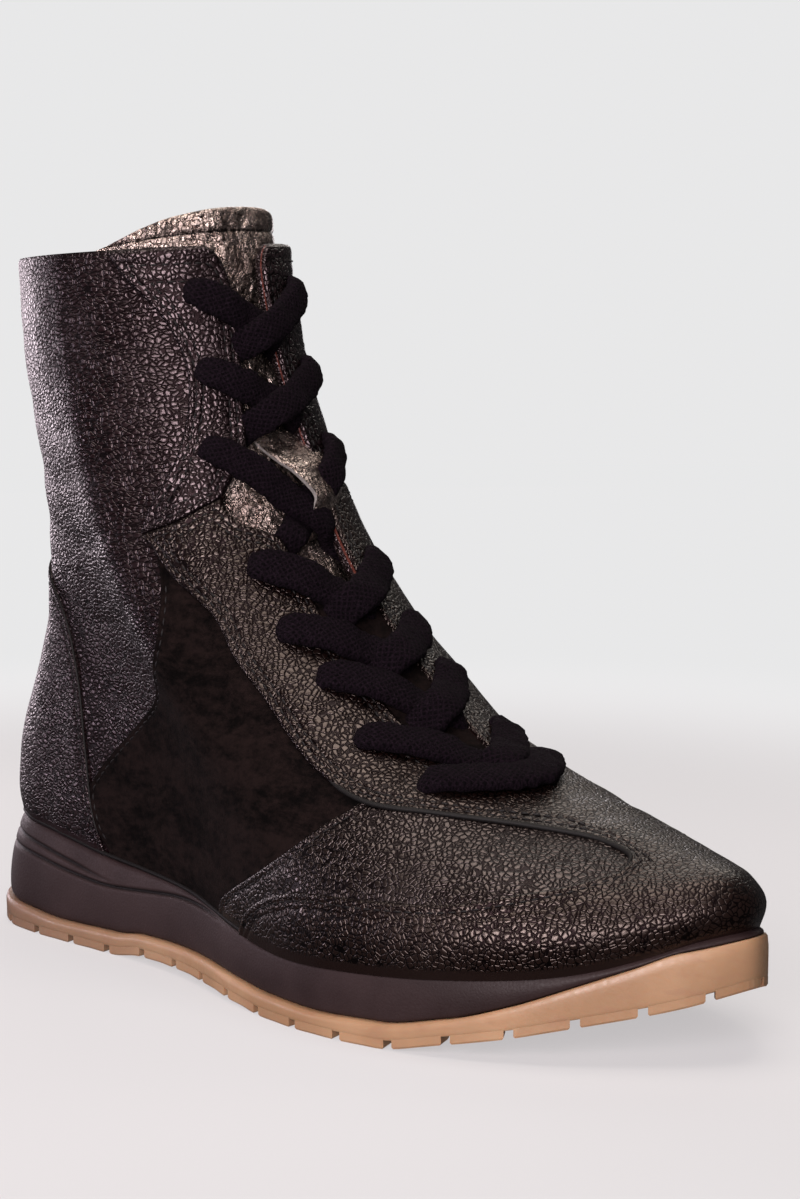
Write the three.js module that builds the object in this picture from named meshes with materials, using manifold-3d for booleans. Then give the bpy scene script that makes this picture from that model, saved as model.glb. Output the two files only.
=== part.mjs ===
// A high lace-up sneaker boot for the right foot, in millimetres, +Z up.
// +X points to the toe and +Y to the inner side of the foot.
// The origin is on the floor, below the middle of the heel.

import * as THREE from 'three';
import Module from 'manifold-3d';
import { mergeVertices } from 'three/addons/utils/BufferGeometryUtils.js';

const wasm = await Module();
wasm.setup();

// Driving sizes of the last and the boot
const soleLength = 282;
const ballWidth = 98;
const heelWidth = 64;
const shaftWidth = 66;
const instepHeight = 98;
const collarHeight = 207;
const tongueRise = 11;
const throatWidth = 18;

// Driving sizes of the sole
const outsoleThickness = 7;
const toeBumperHeight = 13.5;
const toeSpring = 20;
const archLift = 2;
const heelStack = 35;
const forefootStack = 18.5;
const midsoleLedge = 1.4;
const treadDepth = 2.2;
const lugPitch = 17.5;
const lugGap = 4.5;
const lugReach = 11;
const barWidth = 5;
const barPitch = 11;

// Driving sizes of the leather, the insole, the tongue and the laces
const wall = 2;
const overlayThickness = 1.2;
const insoleThickness = 3;
const tongueThickness = 2.6;
const keeperThickness = 1.2;
const laceWidth = 9.5;
const laceThickness = 3.6;
const gap = 0.3;

// Fineness of the round stretches
const aroundSteps = 56;
const fineSteps = 320;

const heelCentreShare = 0.135;
const heelBack = -heelCentreShare * soleLength;

const colours = {
  blackLeather: 0x2a2226,
  plumLeather: 0x33292d,
  suede: 0x17110f,
  pewter: 0x8c7f72,
  midsoleBrown: 0x2e2422,
  gum: 0xc99a6b,
  lace: 0x15131c,
  lining: 0x4a4038,
};

// Small helpers for shares and smooth tables
const mix = (a, b, t) => a + (b - a) * t;
const clamp01 = (t) => Math.min(1, Math.max(0, t));
const smoothStep = (t) => clamp01(t) ** 2 * (3 - 2 * clamp01(t));

const table = (columns, rows) =>
  rows.map((row) => Object.fromEntries(columns.map((name, i) => [name, row[i]])));

// The slope of a column at each of its rows, without overshoot between them
function slopes(at, value) {
  const steps = at.slice(1).map((a, i) => (value[i + 1] - value[i]) / (a - at[i]));
  return at.map((_, i) => {
    if (i === 0) return steps[0];
    if (i === at.length - 1) return steps[i - 1];
    const before = steps[i - 1];
    const after = steps[i];
    return before * after <= 0 ? 0 : (2 * before * after) / (before + after);
  });
}

// A table's column as a smooth function of its key column
function smoothTable(rows, key, column) {
  const at = rows.map((row) => row[key]);
  const value = rows.map((row) => row[column]);
  const slope = slopes(at, value);
  return (place) => {
    if (place <= at[0]) return value[0];
    const next = at.findIndex((a) => a > place);
    if (next < 0) return value[value.length - 1];
    const i = next - 1;
    const span = at[next] - at[i];
    const t = (place - at[i]) / span;
    const start = value[i] * (1 + 2 * t) + slope[i] * span * t;
    const end = value[next] * (3 - 2 * t) - slope[next] * span * (1 - t);
    return start * (1 - t) ** 2 + end * t ** 2;
  };
}

// The outline of the sole: stations as shares of its length, sides as shares of its width there
const outline = table(
  ['station', 'outer', 'inner'],
  [
    [0.0, 0.0, 0.0],
    [0.007, 0.17, 0.17],
    [0.025, 0.32, 0.32],
    [0.06, 0.42, 0.43],
    [0.12, 0.465, 0.5],
    [0.2, 0.475, 0.51],
    [0.29, 0.485, 0.47],
    [0.38, 0.478, 0.395],
    [0.5, 0.469, 0.352],
    [0.59, 0.5, 0.43],
    [0.66, 0.505, 0.48],
    [0.74, 0.47, 0.51],
    [0.82, 0.388, 0.485],
    [0.89, 0.268, 0.42],
    [0.95, 0.115, 0.318],
    [0.985, -0.004, 0.208],
    [1.0, -0.1, 0.1],
  ],
);
const heelWidthEnds = 0.3;
const ballWidthStarts = 0.55;

function widthAt(station) {
  const t = (station - heelWidthEnds) / (ballWidthStarts - heelWidthEnds);
  return mix(heelWidth, ballWidth, smoothStep(t));
}

// The sole in side view; each column is a share of the size that its function names
const soleProfile = table(
  ['station', 'lift', 'spring', 'outsole', 'bumper', 'heel', 'toeRise'],
  [
    [0.0, 1.0, 0, 1.0, 0.08, 1.0, 0],
    [0.04, 0.25, 0, 1.0, 0.05, 0.98, 0],
    [0.08, 0, 0, 1.0, 0.02, 0.94, 0],
    [0.16, 0, 0, 0.86, 0, 0.78, 0],
    [0.25, 0, 0, 0.92, 0, 0.56, 0],
    [0.3, 0.9, 0, 0.88, 0, 0.5, 0],
    [0.36, 1.0, 0, 0.9, 0, 0.44, 0],
    [0.43, 0.9, 0, 0.92, 0, 0.3, 0],
    [0.5, 0.45, 0, 0.92, 0, 0.15, 0],
    [0.56, 0, 0, 0.92, 0, 0.02, 0],
    [0.63, 0, 0, 0.86, 0, 0, 0.01],
    [0.71, 0, 0, 0.96, 0, 0, 0.06],
    [0.78, 0, 0.17, 0.95, 0, 0, 0.125],
    [0.84, 0, 0.34, 0.9, 0.15, 0, 0.2],
    [0.89, 0, 0.52, 0.75, 0.4, 0, 0.32],
    [0.93, 0, 0.66, 0.45, 0.72, 0, 0.5],
    [0.965, 0, 0.8, 0.15, 1.0, 0, 0.73],
    [1.0, 0, 1.0, 0, 1.0, 0, 0.86],
  ],
);
const profileColumn = (name) => smoothTable(soleProfile, 'station', name);
const liftShare = profileColumn('lift');
const springShare = profileColumn('spring');
const outsoleShare = profileColumn('outsole');
const bumperShare = profileColumn('bumper');
const heelShare = profileColumn('heel');
const toeRiseShare = profileColumn('toeRise');

const stationOf = (x) => (x - heelBack) / soleLength;
const xOf = (station) => heelBack + station * soleLength;

const soleBottom = (s) => archLift * liftShare(s) + toeSpring * springShare(s);
const outsoleTop = (s) =>
  soleBottom(s) + outsoleThickness * outsoleShare(s) + toeBumperHeight * bumperShare(s);
const midsoleTop = (s) =>
  mix(forefootStack, heelStack, heelShare(s)) + toeSpring * toeRiseShare(s);

// The upper's rings, from the sole's edge to the collar, as a last maker's sections.
// Levels are 0 at the floor, 1 at the instep height and 2 at the collar.
// Heel, waist, ball and toe are shares of the sole's own width there, and shaft is how far
// the ring has turned into the oval of the shaft.
const sections = table(
  ['back', 'backLevel', 'front', 'frontLevel', 'dip', 'heel', 'waist', 'ball', 'toe', 'swing', 'shaft'],
  [
    [0.032, 0.35, 0.98, 0.35, 1.0, 0.87, 0.93, 0.95, 0.95, 1.0, 0],
    [0.027, 0.45, 0.987, 0.42, 0.85, 0.9, 0.97, 0.98, 0.98, 1.0, 0],
    [0.03, 0.57, 0.972, 0.48, 0.65, 0.88, 0.96, 0.95, 0.92, 1.0, 0],
    [0.043, 0.69, 0.928, 0.54, 0.5, 0.86, 0.94, 0.87, 0.82, 1.0, 0],
    [0.06, 0.81, 0.851, 0.6, 0.35, 0.82, 0.92, 0.79, 0.72, 0.9, 0],
    [0.074, 0.92, 0.762, 0.65, 0.2, 0.79, 0.9, 0.74, 0.72, 0.8, 0],
    [0.085, 1.02, 0.674, 0.72, 0.1, 0.77, 0.9, 0.72, 0.78, 0.7, 0],
    [0.087, 1.13, 0.585, 0.87, 0, 0.77, 0.91, 0.71, 0.82, 0.7, 0.15],
    [0.086, 1.26, 0.507, 1.06, 0, 0.78, 0.94, 0.7, 0.82, 0.6, 0.35],
    [0.081, 1.4, 0.444, 1.27, 0, 0.81, 0.98, 0.69, 0.8, 0.5, 0.6],
    [0.064, 1.58, 0.398, 1.52, 0, 0.84, 1.0, 0.68, 0.78, 0.4, 0.8],
    [0.049, 1.78, 0.368, 1.77, 0, 0.86, 1.0, 0.67, 0.76, 0.3, 1.0],
    [0.045, 1.97, 0.35, 2.02, 0, 0.87, 1.0, 0.66, 0.74, 0.3, 1.0],
    [0.042, 2.1, 0.343, 2.17, 0, 0.87, 1.0, 0.66, 0.74, 0.3, 1.0],
  ],
).map((row, ring) => ({ ring, ...row }));
const collarRing = 12;
const widthStations = [0.12, 0.42, 0.68, 0.9];
const shaftRoundness = 2.25;

function levelHeight(level) {
  if (level <= 1) return level * instepHeight;
  return instepHeight + (level - 1) * (collarHeight - instepHeight);
}

// The sole's top edge, and how far it sags below a straight line from heel to toe
const seatChord = (s) => mix(midsoleTop(0), midsoleTop(1), s);
const seatSag = (s) => seatChord(s) - midsoleTop(s);

// Each ring's heights at its back and front; the first ring stands on the sole
const rings = sections.map((row) => ({
  ...row,
  backHeight: row.ring === 0 ? seatChord(row.back) + gap : levelHeight(row.backLevel),
  frontHeight: row.ring === 0 ? seatChord(row.front) + gap : levelHeight(row.frontLevel),
}));
const ringColumns = Object.keys(rings[0]).map((name) => [name, smoothTable(rings, 'ring', name)]);
const ringRow = (ring) => Object.fromEntries(ringColumns.map(([name, at]) => [name, at(ring)]));

function ovalHalf(share) {
  const across = Math.abs(2 * share - 1);
  return 0.5 * shaftWidth * (1 - across ** shaftRoundness) ** (1 / shaftRoundness);
}

function ringControls(row) {
  const shares = [row.heel, row.waist, row.ball, row.toe];
  const widthRows = widthStations.map((at, i) => ({ at, share: shares[i] }));
  const widthShare = smoothTable(widthRows, 'at', 'share');
  const place = (side) => ({ station, outer, inner }) => {
    const footHalf = 0.5 * (outer + inner) * widthAt(station) * widthShare(station);
    const half = mix(footHalf, ovalHalf(station), row.shaft);
    const middle = 0.5 * (inner - outer) * widthAt(station) * row.swing;
    const along = mix(row.back, row.front, station);
    const height = mix(row.backHeight, row.frontHeight, station) - row.dip * seatSag(along);
    return new THREE.Vector3(xOf(along), middle + side * half, height);
  };
  const outerSide = outline.map(place(-1));
  const innerSide = outline.slice(1, -1).reverse().map(place(1));
  return [...outerSide, ...innerSide];
}

const curveCache = new Map();
function ringCurve(ring) {
  if (!curveCache.has(ring)) {
    const controls = ringControls(ringRow(ring));
    curveCache.set(ring, new THREE.CatmullRomCurve3(controls, true, 'centripetal'));
  }
  return curveCache.get(ring);
}

// A point of the last's surface: u runs from the heel over the outer side to the toe and back
const onSkin = (u, ring) => ringCurve(ring).getPoint((u + 1) % 1);

function skinNormal(u, ring) {
  const uStep = 0.004;
  const ringStep = 0.1;
  const low = Math.max(0, ring - 0.5 * ringStep);
  const along = onSkin(u + uStep, ring).sub(onSkin(u - uStep, ring));
  const up = onSkin(u, low + ringStep).sub(onSkin(u, low));
  return along.cross(up).normalize();
}

const offSkin = (u, ring, offset) => onSkin(u, ring).addScaledVector(skinNormal(u, ring), offset);

const skinLoop = (ring, offset) =>
  Array.from({ length: aroundSteps }, (_, i) => offSkin(i / aroundSteps, ring, offset));

// Closed meshes from loops of equal length
function meshGeometry(points, faces) {
  const position = new Float32Array(points.flatMap((p) => [p.x, p.y, p.z]));
  const geometry = new THREE.BufferGeometry();
  geometry.setAttribute('position', new THREE.BufferAttribute(position, 3));
  geometry.setIndex(faces.flat());
  return geometry;
}

function bands(loopCount, pointCount, wrap) {
  const faces = [];
  const rows = wrap ? loopCount : loopCount - 1;
  for (let row = 0; row < rows; row += 1) {
    const low = row * pointCount;
    const high = ((row + 1) % loopCount) * pointCount;
    for (let i = 0; i < pointCount; i += 1) {
      const next = (i + 1) % pointCount;
      faces.push([low + i, low + next, high + next], [low + i, high + next, high + i]);
    }
  }
  return faces;
}

// A lid across a loop whose two sides face each other, from its first point to its middle one
function lid(first, pointCount, turned) {
  const faces = [];
  for (let i = 0; i < pointCount / 2; i += 1) {
    const near = first + i;
    const nearNext = first + i + 1;
    const far = first + ((pointCount - i) % pointCount);
    const farNext = first + pointCount - i - 1;
    if (nearNext !== farNext) faces.push([near, farNext, nearNext]);
    if (near !== far) faces.push([near, far, farNext]);
  }
  return turned ? faces.map(([a, b, c]) => [a, c, b]) : faces;
}

function loft(loops) {
  const count = loops[0].length;
  const lastLoop = (loops.length - 1) * count;
  const faces = [...bands(loops.length, count, false), ...lid(0, count, false), ...lid(lastLoop, count, true)];
  return meshGeometry(loops.flat(), faces);
}

const hoop = (loops) => meshGeometry(loops.flat(), bands(loops.length, loops[0].length, true));

// Joins and cuts
function toSolid(geometry) {
  const bare = new THREE.BufferGeometry();
  bare.setAttribute('position', geometry.getAttribute('position').clone());
  if (geometry.index) bare.setIndex(geometry.index.clone());
  const merged = mergeVertices(bare, 1e-4);
  const vertProperties = new Float32Array(merged.getAttribute('position').array);
  const triVerts = new Uint32Array(merged.index.array);
  const solid = new wasm.Manifold(new wasm.Mesh({ numProp: 3, vertProperties, triVerts }));
  if (solid.volume() >= 0) return solid;
  const turned = triVerts.map((_, i) => triVerts[i - (i % 3) + [0, 2, 1][i % 3]]);
  return new wasm.Manifold(new wasm.Mesh({ numProp: 3, vertProperties, triVerts: turned }));
}

function toGeometry(solid) {
  const mesh = solid.getMesh();
  const geometry = new THREE.BufferGeometry();
  geometry.setAttribute('position', new THREE.BufferAttribute(mesh.vertProperties, 3));
  geometry.setIndex(new THREE.BufferAttribute(mesh.triVerts, 1));
  return geometry;
}

const join = (solids) => solids.reduce((all, solid) => all.add(solid));

// Prisms that cut panels: one seen from the side, one seen from the front
function sidePrism(points, fromY, toY) {
  const shape = new THREE.Shape(points.map(([x, z]) => new THREE.Vector2(x, z)));
  const geometry = new THREE.ExtrudeGeometry(shape, { depth: toY - fromY, bevelEnabled: false });
  geometry.rotateX(Math.PI / 2);
  geometry.translate(0, toY, 0);
  return toSolid(geometry);
}

function frontPrism(points, fromX, toX) {
  const shape = new THREE.Shape(points.map(([y, z]) => new THREE.Vector2(y, z)));
  const geometry = new THREE.ExtrudeGeometry(shape, { depth: toX - fromX, bevelEnabled: false });
  const forward = new THREE.Matrix4().makeBasis(
    new THREE.Vector3(0, 1, 0),
    new THREE.Vector3(0, 0, 1),
    new THREE.Vector3(1, 0, 0),
  );
  geometry.applyMatrix4(forward);
  geometry.translate(fromX, 0, 0);
  return toSolid(geometry);
}

// A smooth line through points of the side view, given as [station, level]
function sideLine(points, steps = 2) {
  const knots = points.map(([station, level]) => new THREE.Vector3(xOf(station), 0, levelHeight(level)));
  const curve = new THREE.CatmullRomCurve3(knots, false, 'centripetal');
  return curve.getPoints((points.length - 1) * steps).map((p) => [p.x, p.z]);
}

const farSide = ballWidth;
const shift = (points, dx, dz) => points.map(([x, z]) => [x + dx, z + dz]);

const boot = new THREE.Group();

function addPiece(name, solid, color, roughness, metalness = 0) {
  const material = new THREE.MeshStandardMaterial({ color, roughness, metalness });
  const mesh = new THREE.Mesh(toGeometry(solid), material);
  mesh.name = name;
  boot.add(mesh);
}

// The sole's loops: the outline drawn in by an inset, at the height of a profile
const outlineCurve = (() => {
  const outerSide = outline.map(({ station, outer }) => [station, -outer * widthAt(station)]);
  const innerSide = outline.slice(1, -1).map(({ station, inner }) => [station, inner * widthAt(station)]);
  const around = [...outerSide, ...innerSide.reverse()];
  const controls = around.map(([station, y]) => new THREE.Vector3(xOf(station), y, 0));
  return new THREE.CatmullRomCurve3(controls, true, 'centripetal');
})();

function outlinePoint(u, inset, height) {
  const point = outlineCurve.getPoint(u);
  const tangent = outlineCurve.getTangent(u);
  point.x -= tangent.y * inset;
  point.y += tangent.x * inset;
  point.z = height(stationOf(point.x));
  return point;
}

const outlineLoop = (inset, height) =>
  Array.from({ length: aroundSteps }, (_, i) => outlinePoint(i / aroundSteps, inset, height));

// Outsole: a plate with a rim of lugs and cross bars under the heel and the ball
const plateBottom = (s) => soleBottom(s) + treadDepth;
const lugInset = 0.6;
const lugRoot = 1.2;
const barHalfShare = 0.28;

const outsolePlate = toSolid(
  loft([
    outlineLoop(1.6, plateBottom),
    outlineLoop(0.2, (s) => plateBottom(s) + lugRoot),
    outlineLoop(0, (s) => mix(plateBottom(s), outsoleTop(s), 0.6)),
    outlineLoop(0.9, outsoleTop),
  ]),
);

// The rim's places at equal steps along the outline
const rimPlaces = (() => {
  const lengths = outlineCurve.getLengths(fineSteps);
  const lugCount = Math.round(lengths[fineSteps] / lugPitch);
  return Array.from({ length: lugCount }, (_, i) => {
    const start = (i / lugCount) * lengths[fineSteps];
    const end = start + lengths[fineSteps] / lugCount - lugGap;
    const placeAt = (length) => lengths.findIndex((l) => l >= length) / fineSteps;
    return [placeAt(start), placeAt(end)];
  });
})();

function block(corners, lift) {
  const head = corners.map((point) => point.clone().setZ(point.z + lift));
  return toSolid(loft([corners, head]));
}

function rimLug([from, to]) {
  const narrow = 0.12 * (to - from);
  return block(
    [
      outlinePoint(from, lugInset, soleBottom),
      outlinePoint(to, lugInset, soleBottom),
      outlinePoint(to - narrow, lugReach, soleBottom),
      outlinePoint(from + narrow, lugReach, soleBottom),
    ],
    treadDepth + lugRoot,
  );
}

function crossBar(station) {
  const s = (x) => stationOf(x);
  const half = barHalfShare * widthAt(station);
  const corner = (dx, y) => {
    const x = xOf(station) + dx;
    return new THREE.Vector3(x, y, soleBottom(s(x)));
  };
  const front = 0.5 * barWidth;
  return block([corner(-front, -half), corner(front, -half), corner(front, half), corner(-front, half)],
    treadDepth + lugRoot);
}

function barStations(from, to) {
  const count = Math.floor(((to - from) * soleLength) / barPitch) + 1;
  return Array.from({ length: count }, (_, i) => from + (i * barPitch) / soleLength);
}

const lugs = rimPlaces.map(rimLug);
const bars = [...barStations(0.09, 0.2), ...barStations(0.58, 0.76)].map(crossBar);
addPiece('outsole', join([outsolePlate, ...lugs, ...bars]), colours.gum, 0.6);

// Midsole: a wedge from the outsole to the upper's seat, with a ledge round the upper
function seatLoop(outward, height) {
  return skinLoop(0, 0).map((point, i) => {
    const before = onSkin((i - 0.5) / aroundSteps, 0);
    const after = onSkin((i + 0.5) / aroundSteps, 0);
    const along = after.sub(before).setZ(0).normalize();
    const x = point.x + along.y * outward;
    return new THREE.Vector3(x, point.y - along.x * outward, height(stationOf(x)));
  });
}

function midsoleLoop(share) {
  const low = outlineLoop(1.6, (s) => outsoleTop(s) + gap);
  const high = seatLoop(midsoleLedge, midsoleTop);
  return low.map((point, i) => {
    const height = mix(point.z, high[i].z, share);
    return point.clone().lerp(high[i], share ** 1.6).setZ(height);
  });
}

addPiece('midsole', toSolid(loft([0, 0.3, 0.62, 1].map(midsoleLoop))), colours.midsoleBrown, 0.85);

// Insole: a thin pad inside the upper, on the midsole
const insoleInset = -(wall + gap);
const insoleRise = (rise) => (s) => midsoleTop(s) + gap + rise;
addPiece(
  'insole',
  toSolid(loft([seatLoop(insoleInset, insoleRise(0)), seatLoop(insoleInset, insoleRise(insoleThickness))])),
  colours.lining,
  0.9,
);

// Upper: one hollow shell, cut open at the throat
const shellRings = [0, 0.5, 1, 2, 3, 4, 5, 6, 7, 8, 9, 10.5, 12];

function shell(innerOffset, outerOffset, ringsUsed) {
  const outer = ringsUsed.map((ring) => skinLoop(ring, outerOffset));
  const inner = ringsUsed.map((ring) => skinLoop(ring, innerOffset)).reverse();
  return toSolid(hoop([...outer, ...inner]));
}

// The throat from the front: its edges as shares of the throat's width, up its levels
const throatRows = table(
  ['level', 'outer', 'inner'],
  [
    [0.68, 0.22, 0.3],
    [0.7, -0.18, 0.46],
    [0.76, -0.4, 0.52],
    [0.9, -0.46, 0.58],
    [1.18, -0.44, 0.56],
    [1.32, -0.52, 0.56],
    [1.4, -0.86, 0.6],
    [1.46, -0.62, 0.58],
    [1.6, -0.44, 0.46],
    [1.8, -0.32, 0.34],
    [2.4, -0.22, 0.26],
  ],
);

function throatPrism(extra) {
  const edge = (side, sign) =>
    throatRows.map((row) => [row[side] * throatWidth + sign * extra, levelHeight(row.level) - extra]);
  const points = [...edge('outer', -1), ...edge('inner', 1).reverse()];
  return frontPrism(points, xOf(0.22), xOf(1));
}

const throat = throatPrism(0);
addPiece('upper', shell(-wall, 0, shellRings).subtract(throat), colours.blackLeather, 0.45);

// Panels on the upper, cut from a skin that lies over it
const panelRings = [0.15, ...shellRings.slice(1, -1), 11.95];
const panelGap = 1.5 * gap;
const panelSkin = shell(panelGap, panelGap + overlayThickness, panelRings);

// Lines of the side view as [station, level]
const eyestayEdge = [
  [0.34, 1.24],
  [0.366, 1.17],
  [0.426, 1.06],
  [0.457, 0.965],
  [0.502, 0.86],
  [0.547, 0.75],
  [0.594, 0.67],
  [0.647, 0.615],
  [0.713, 0.595],
  [0.787, 0.57],
  [0.856, 0.536],
  [0.886, 0.507],
];
const mudguardEdge = [
  [0.886, 0.507],
  [0.887, 0.485],
  [0.867, 0.458],
  [0.82, 0.428],
  [0.777, 0.405],
  [0.7, 0.395],
  [0.616, 0.385],
  [0.568, 0.348],
  [0.53, 0.29],
  [0.505, 0.2],
];
const lapLine = [
  [0.328, 1.265],
  [0.365, 1.305],
  [0.401, 1.385],
];
const facingEdge = [
  [0.24, 2.1],
  [0.277, 1.95],
  [0.318, 1.83],
  [0.341, 1.7],
  [0.35, 1.55],
  [0.347, 1.44],
  [0.331, 1.33],
  [0.328, 1.29],
];
const counterEdge = [
  [0.232, 0.1],
  [0.23, 0.3],
  [0.212, 0.44],
  [0.199, 0.61],
  [0.181, 0.81],
  [0.153, 1.04],
  [0.1, 1.1],
  [-0.02, 1.12],
];
const sidePanelRear = [
  [0.345, 1.2],
  [0.325, 1.03],
  [0.29, 0.74],
  [0.262, 0.48],
  [0.25, 0.1],
];
const sidePanelFront = [
  [0.42, 0.1],
  [0.44, 0.3],
  [0.485, 0.47],
  [0.57, 0.66],
];

// The vamp overlay: eyestay, vamp, toe and mudguard in one piece, open at the side leaf
const frontTop = [xOf(1.05), levelHeight(lapLine[2][1])];
const frontBottom = [xOf(1.05), 0];
const vampOutline = [
  ...sideLine([...eyestayEdge].slice(0, -1)),
  ...sideLine(mudguardEdge),
  [xOf(0.505), 0],
  frontBottom,
  frontTop,
  ...sideLine([...lapLine].reverse()),
];
const throatTrim = 0.6;
const widerThroat = throatPrism(throatTrim);
addPiece(
  'vamp_overlay',
  panelSkin.intersect(sidePrism(vampOutline, -farSide, farSide)).subtract(widerThroat),
  colours.plumLeather,
  0.4,
);

// The shaft facings, one on each side of the throat, down to the lap over the eyestay
const seam = 0.5;
const facingOutline = [
  ...sideLine(facingEdge),
  ...shift(sideLine(lapLine), 0, seam).slice(1),
  [xOf(0.6), levelHeight(lapLine[2][1]) + seam],
  [xOf(0.6), levelHeight(2.2)],
  [xOf(0.24), levelHeight(2.2)],
];
const facings = panelSkin.intersect(sidePrism(facingOutline, -farSide, farSide)).subtract(widerThroat);
const outerHalf = sidePrism(
  [[xOf(-0.1), 0], [xOf(1.1), 0], [xOf(1.1), levelHeight(2.3)], [xOf(-0.1), levelHeight(2.3)]],
  -farSide,
  0,
);
addPiece('facing_outer', facings.intersect(outerHalf), colours.blackLeather, 0.42);
addPiece('facing_inner', facings.subtract(outerHalf), colours.blackLeather, 0.42);

// The heel counter, and the short strip above it
const counterOutline = [...sideLine(counterEdge), [xOf(-0.02), 0], [xOf(0.232), 0]];
addPiece(
  'heel_counter',
  panelSkin.intersect(sidePrism(counterOutline, -farSide, farSide)),
  colours.blackLeather,
  0.4,
);
const stripHalf = 8;
const stripOutline = [
  [xOf(-0.02), levelHeight(1.13)],
  [xOf(0.15), levelHeight(1.13)],
  [xOf(0.15), levelHeight(1.27)],
  [xOf(-0.02), levelHeight(1.27)],
];
addPiece('back_strip', panelSkin.intersect(sidePrism(stripOutline, -stripHalf, stripHalf)), colours.suede, 0.9);

// The plain suede saddle on each side
const saddleTop = shift(sideLine(eyestayEdge.slice(1, 7)), -seam, -seam).reverse();
const saddleOutline = [...sideLine(sidePanelFront), ...saddleTop, ...sideLine(sidePanelRear)];
const saddles = panelSkin.intersect(sidePrism(saddleOutline, -farSide, farSide));
addPiece('side_panel_outer', saddles.intersect(outerHalf), colours.suede, 0.95);
addPiece('side_panel_inner', saddles.subtract(outerHalf), colours.suede, 0.95);

// Tongue: a padded sheet behind the throat, from the vamp to above the collar
const tongueRows = table(
  ['ring', 'reach'],
  [
    [5.0, 0.07],
    [6.0, 0.08],
    [7.0, 0.1],
    [8.0, 0.125],
    [9.0, 0.155],
    [10.5, 0.2],
    [12.0, 0.22],
    [12.85, 0.21],
  ],
);
const tongueColumns = 12;
const tongueClearance = 2.5 * gap;
const tongueTopShare = tongueRise / (levelHeight(2.1) - levelHeight(2));

function tongueSection({ ring, reach }) {
  const top = -(wall + tongueClearance);
  const under = top - tongueThickness;
  const line = (offset, order) =>
    order.map((i) => {
      const across = (2 * i) / tongueColumns - 1;
      const drop = ring > collarRing ? 0.45 * across ** 4 : 0;
      const lift = ring > collarRing ? collarRing + (ring - collarRing) * tongueTopShare * (1 - drop) : ring;
      return offSkin(0.5 + reach * across, lift, offset);
    });
  const forward = Array.from({ length: tongueColumns + 1 }, (_, i) => i);
  return [...line(top, forward), ...line(under, [...forward].reverse())];
}

function sheet(loops) {
  const count = loops[0].length;
  const faces = bands(loops.length, count, false);
  const cap = (first, turned) => {
    for (let i = 0; i < count / 2 - 1; i += 1) {
      const near = first + i;
      const far = first + count - 1 - i;
      const pair = [[near, far, near + 1], [near + 1, far, far - 1]];
      faces.push(...(turned ? pair.map(([a, b, c]) => [a, c, b]) : pair));
    }
  };
  cap(0, false);
  cap((loops.length - 1) * count, true);
  return toSolid(meshGeometry(loops.flat(), faces));
}

const tongue = sheet(tongueRows.map(tongueSection));
addPiece('tongue', tongue, colours.pewter, 0.35, 0.5);

// The lace keeper: a short leather band on the tongue, between two of the tongue's own rows
const keeperRows = [9, 10.5];
const keeperShares = [0.1, 0.5];
const keeperReach = 0.028;
const keeperMiddle = 0.486;
const keeperUnder = 2 * gap - wall - tongueClearance;

function keeperSection(share) {
  const place = (side, offset) => {
    const [low, high] = keeperRows.map((ring) => offSkin(keeperMiddle + keeperReach * side, ring, offset));
    return low.lerp(high, share);
  };
  const line = (offset, sides) => sides.map((side) => place(side, offset));
  return [...line(keeperUnder + keeperThickness, [-1, 0, 1]), ...line(keeperUnder, [1, 0, -1])];
}
addPiece('lace_keeper', sheet(keeperShares.map(keeperSection)), colours.pewter, 0.4, 0.3);

// Laces: flat straps of six-sided section along points on the skin
const laceSection = [
  [-0.5, 0],
  [-0.3, -0.5],
  [0.3, -0.5],
  [0.5, 0],
  [0.3, 0.5],
  [-0.3, 0.5],
];

function strap(places, width, thickness) {
  const points = places.map(([u, ring, offset]) => offSkin(u, ring, offset));
  const loops = points.map((point, i) => {
    const before = points[Math.max(0, i - 1)];
    const after = points[Math.min(points.length - 1, i + 1)];
    const along = after.clone().sub(before).normalize();
    const normal = skinNormal(places[i][0], places[i][1]);
    const across = along.clone().cross(normal).normalize();
    const up = across.clone().cross(along).normalize();
    return laceSection.map(([w, t]) =>
      point.clone().addScaledVector(across, w * width).addScaledVector(up, t * thickness));
  });
  return toSolid(loft(loops));
}

// The rows of lace holes: the ring they lie on, their places round it, how far the legs that
// start there reach towards the next row, and how many gaps they lie clear of the panels
const holeRows = table(
  ['ring', 'outer', 'inner', 'reach', 'clear'],
  [
    [11.4, 0.42, 0.556, 0.78, 3],
    [10.55, 0.42, 0.56, 0.74, 4],
    [9.75, 0.409, 0.562, 0.76, 4],
    [8.6, 0.417, 0.561, 0.7, 3],
    [7.8, 0.411, 0.558, 0.68, 3],
    [7.1, 0.413, 0.557, 0.68, 3],
    [6.35, 0.408, 0.566, 0.57, 3],
    [5.35, 0.402, 0.574, 0, 2],
  ],
);
const laceMiddle = panelGap + overlayThickness + 0.5 * laceThickness;
const laceRest = (row) => laceMiddle + row.clear * gap;
const crossLift = 0.6 * laceThickness;
const laceSteps = 4;

// One leg of a crossing: from its hole over the throat towards the next row
function crossingLeg(row, from, to, lift) {
  const start = holeRows[row];
  const end = holeRows[row + 1];
  const places = Array.from({ length: laceSteps + 1 }, (_, i) => {
    const t = (i / laceSteps) * start.reach;
    const arch = Math.sin((Math.PI * i) / laceSteps);
    return [mix(start[from], end[to], t), mix(start.ring, end.ring, t), laceRest(start) + lift * arch];
  });
  return strap(places, laceWidth, laceThickness);
}

holeRows.slice(0, -1).forEach((_, row) => {
  const under = crossingLeg(row, 'outer', 'inner', 0.6);
  const over = crossingLeg(row, 'inner', 'outer', crossLift);
  addPiece(`lace_cross_${row + 1}`, under.add(over), colours.lace, 0.95);
});

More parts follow.
